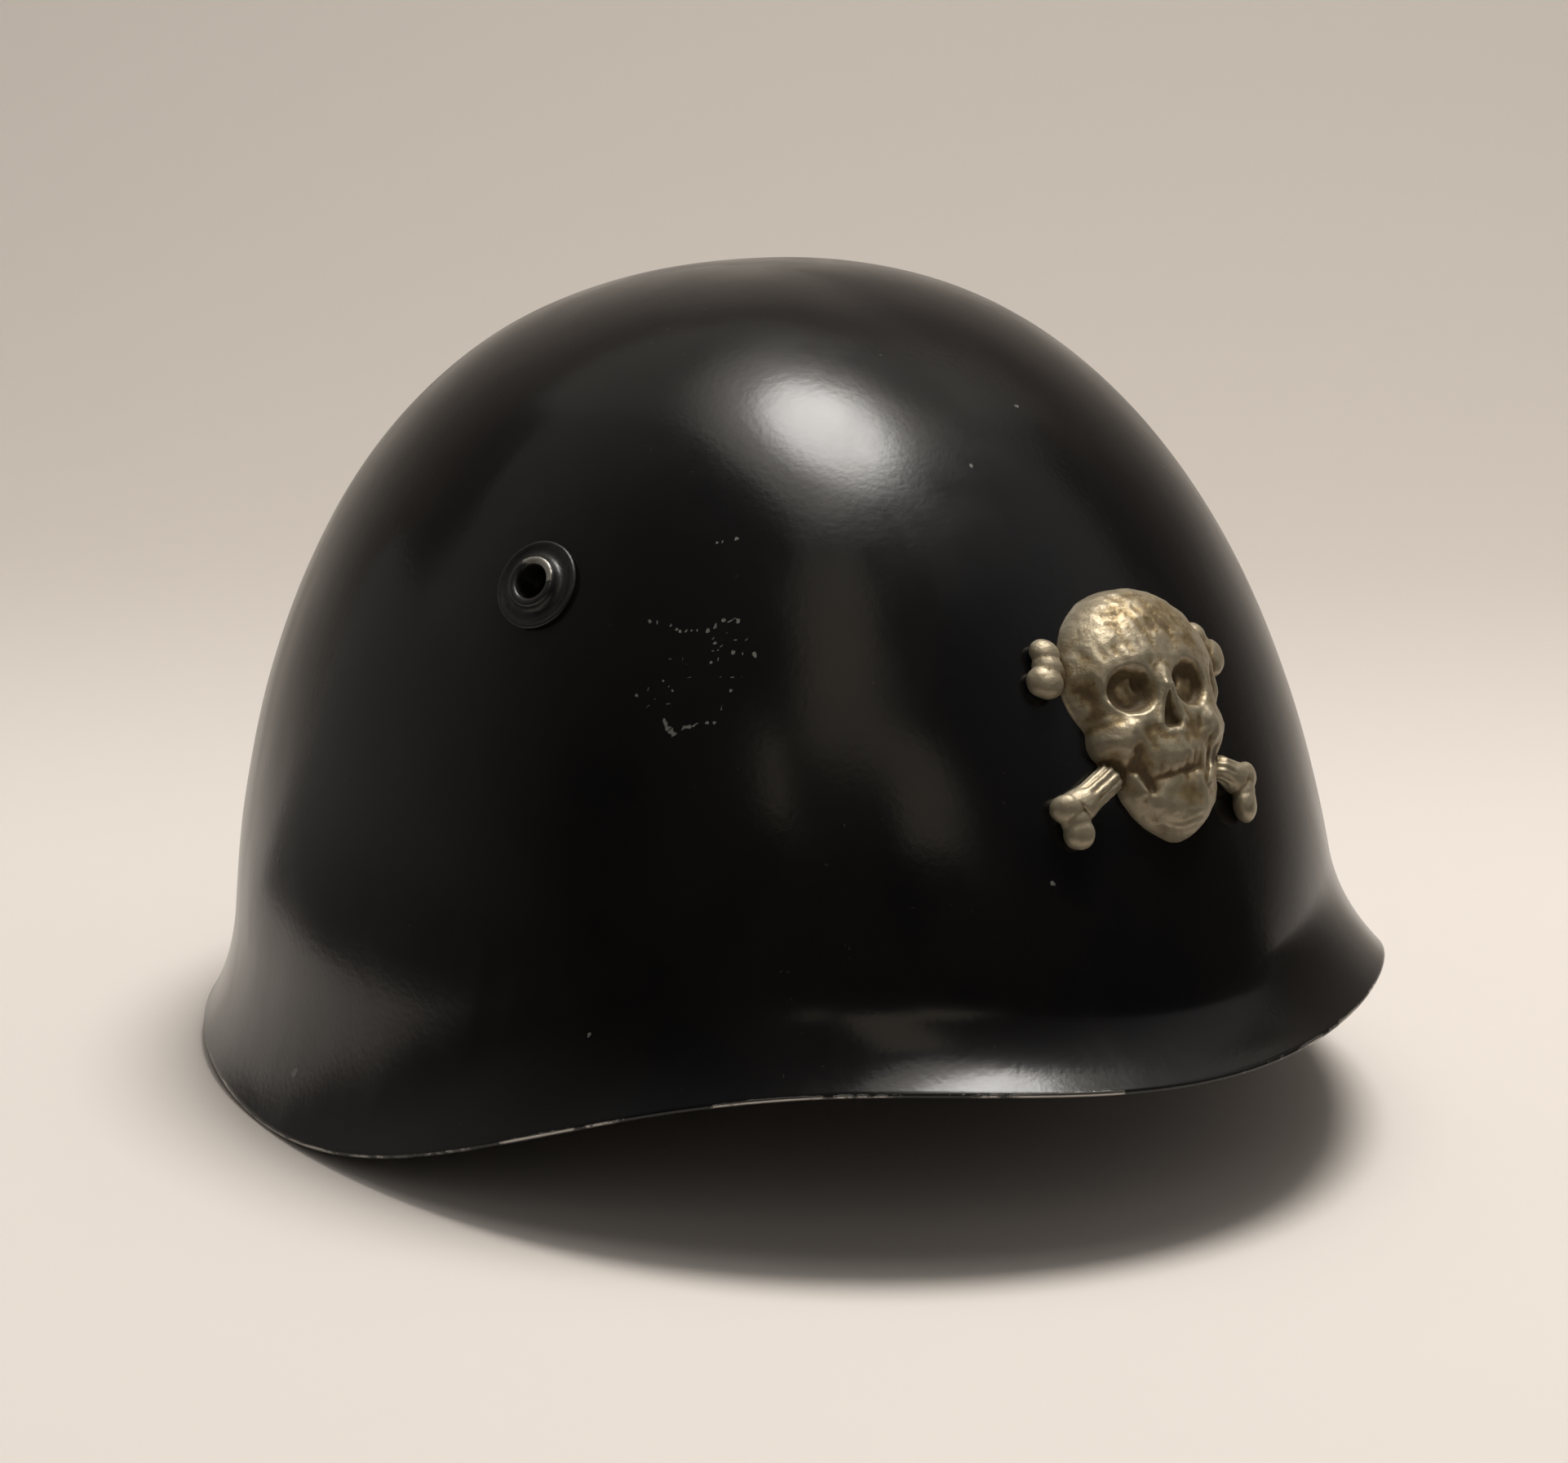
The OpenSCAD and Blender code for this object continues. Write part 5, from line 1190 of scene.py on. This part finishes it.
def add_straps():
    left_end = add_strap("strap_left_end", bail_end(1), None, ["chinstrap_long"])
    right_end = add_strap("strap_right_end", bail_end(-1)[::-1], None, ["chinstrap_short"])
    arch = [(73, 28), (72.6, 36), (72, 46), (72, 82)] + arc(0, ARCH_Z, (ARCH_W, ARCH_RISE), 0, 180, 60)
    arch += [(-72, 82), (-72, 77.5), (-69.6, 70.5)]
    upper = add_strap("strap_long_arch", even(arch, 1.2), None, ["chinstrap_long"])
    tip = [(-69.6, 70.5), (-67.6, 64), (-67.6, 60), (-68.9, 54), (-68.9, 23.2)]
    lower = add_strap("strap_long_tip", even(tip, 0.8), None, ["chinstrap_long"], tip=5.0)
    short = [(-73, 28), (-72.6, 34), (-72, 40), (-72.2, 46), (-72.95, 51), (-72.95, 56)]
    short += arc(-ARCH_W, BUCKLE_Z, 2.3, 200, -20, 18) + [(-71.05, 56), (-71.05, 49.8)]
    fold = add_strap("strap_short_fold", even(short, 0.7, 2), "helmet", ["chinstrap_short"])
    cut_box(fold, (-ARCH_W, 0, 63), (12, 3.6, 12))
    for piece in (upper, lower):
        cut_box(piece, (-69.8, 0, 67.76), (10.4, 2.6, 11.5))
    for z in (33, 52):
        cut_hole(lower, turn_to((1, 0, 0)), np.array([-68.9, 0, z]), STRAP_HOLE_R)
    for i in (1, 2, 3):
        a = math.radians(180 - i * STRAP_HOLE_STEP / ARCH_RISE * 57 * 0.9)
        n = unit(np.array([math.cos(a) / ARCH_W, 0, math.sin(a) / ARCH_RISE]))
        place = np.array([ARCH_W * math.cos(a), 0, ARCH_Z + ARCH_RISE * math.sin(a)])
        cut_hole(upper, turn_to(n), place, STRAP_HOLE_R)
    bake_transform(left_end)
    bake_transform(right_end)
    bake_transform(upper)
    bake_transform(lower)


def add_keeper():
    """A leather loop round both straps; the route is drawn in (x, y) and stood upright."""
    x0, x1 = -ARCH_W - 1.2 - KEEPER_T / 2, -ARCH_W + 4.3 + KEEPER_T / 2
    y1, r = STRAP_W / 2 + 0.3 + KEEPER_T / 2, 1.6
    loop = [(x0, 0), (x0, y1 - r)] + arc(x0 + r, y1 - r, r, 180, 90, 8) + arc(x1 - r, y1 - r, r, 90, 0, 8)
    loop += arc(x1 - r, r - y1, r, 0, -90, 8) + arc(x0 + r, r - y1, r, -90, -180, 8) + [(x0, -0.8)]
    o = add_strap("keeper_loop", even(loop, 0.5, 2), "keeper", ["strap_keeper"],
                  width=8.0, thick=KEEPER_T, closed=True)
    q = values_of(o.data.vertices, "co", 3)
    o.data.vertices.foreach_set("co", np.stack([q[:, 0], q[:, 2], q[:, 1] + KEEPER_Z * MM], -1).ravel())
    o.data.flip_normals()
    o.data.update()


add_leather()
add_felt()
add_lace()
add_straps()
add_keeper()


# CAD nodes that stay take their slot's material
slot_of = {row["node"]: row["material_slot"] for row in frame["record"]["subparts"]}
for name, o in frame["nodes"].items():
    o.data.materials.clear()
    o.data.materials.append(SLOTS[slot_of[name]])


# cards and lamps
def card(name, corners, strength, color, shader=None, faces=None):
    """A dim panel of the studio that only reflections see."""
    shader = shader or Shader(name)
    shader.set(Base_Color=(0.0, 0.0, 0.0), Roughness=1.0, Specular_IOR_Level=0.0,
               Emission_Color=color, Emission_Strength=strength)
    data = new_mesh(name, corners, faces or [range(len(corners))])
    data.materials.append(shader.material)
    o = add_object(name, data)
    o.visible_camera = o.visible_diffuse = o.visible_shadow = False


# the studio's cards, in metres: a ceiling over the helmet, and warm panels in front of it
CEILING = [(-0.63, 1.5), (-0.49, 0.92), (-0.38, 0.44), (-0.38, -0.07), (-0.33, -0.46), (-0.18, -0.71),
           (0.15, -0.64), (0.42, -0.55), (0.93, -0.30), (1.38, -0.01), (2.23, 0.34), (3.2, 1.2),
           (2.0, 3.0), (-0.2, 3.0)]
STREAKS = [[(-0.89, -0.65, 0.75), (-0.80, -0.76, 0.80), (-0.83, -0.74, 0.27), (-0.90, -0.65, 0.25)],
           [(-0.55, -0.91, 2.10), (-0.01, -1.07, 2.09), (-0.38, -1.03, 0.94), (-0.73, -0.82, 0.87)],
           [(-0.73, -0.82, 0.87), (-0.36, -1.04, 0.94), (-0.31, -1.06, 0.74), (-0.75, -0.81, 0.73)],
           [(-0.42, -1.02, 0.89), (-0.20, -1.08, 0.88), (-0.10, -1.10, 0.60), (-0.29, -1.08, 0.35),
            (-0.43, -1.03, 0.34), (-0.41, -1.03, 0.62)]]
CEILING_Z, TRAY_STEPS = 1.8, 22
TRAY = ((0.25, 0.002), (0.42, 0.06), (0.42, 0.22))
ceiling = Shader("card_ceiling")
glow = ceiling.mask(ceiling.measure("DISTANCE", (0.30, -0.12, 1.8)), 0.25, 1.0, 3.6, 0.5)
card("card_ceiling", [(x, y, CEILING_Z) for x, y in CEILING], glow, (1.0, 0.93, 0.84), ceiling)
for i, corners in enumerate(STREAKS):
    card(f"card_warm_{i}", corners, 0.85, (1.0, 0.88, 0.70))
dim = Shader("card_dark")
glow = dim.mask(dim.measure("DOT_PRODUCT", (-0.42, 0.907, 0)), 0.12, 0.42, 0.02, 0.30)
turns = np.radians(np.linspace(-155, 55, TRAY_STEPS))
tray = [(r * math.sin(a), -r * math.cos(a), z) for r, z in TRAY for a in turns]
card("card_dark", tray, glow, (1.0, 0.94, 0.86), dim, grid_faces(len(TRAY), TRAY_STEPS, False).tolist())

area_light("key", (0.31, -0.08, 1.53), (0, 0, 0.12), 0.62, 17.0, (1.0, 0.98, 0.945))
area_light("fill", (0.1, 0.0, 2.4), (0, 0, 0.05), 2.2, 12.5, (1.0, 0.98, 0.95), glossy=False)
area_light("front", (-1.0, -1.3, 1.1), (0, 0, 0.08), 1.4, 2.4, (1.0, 0.97, 0.92), glossy=False)
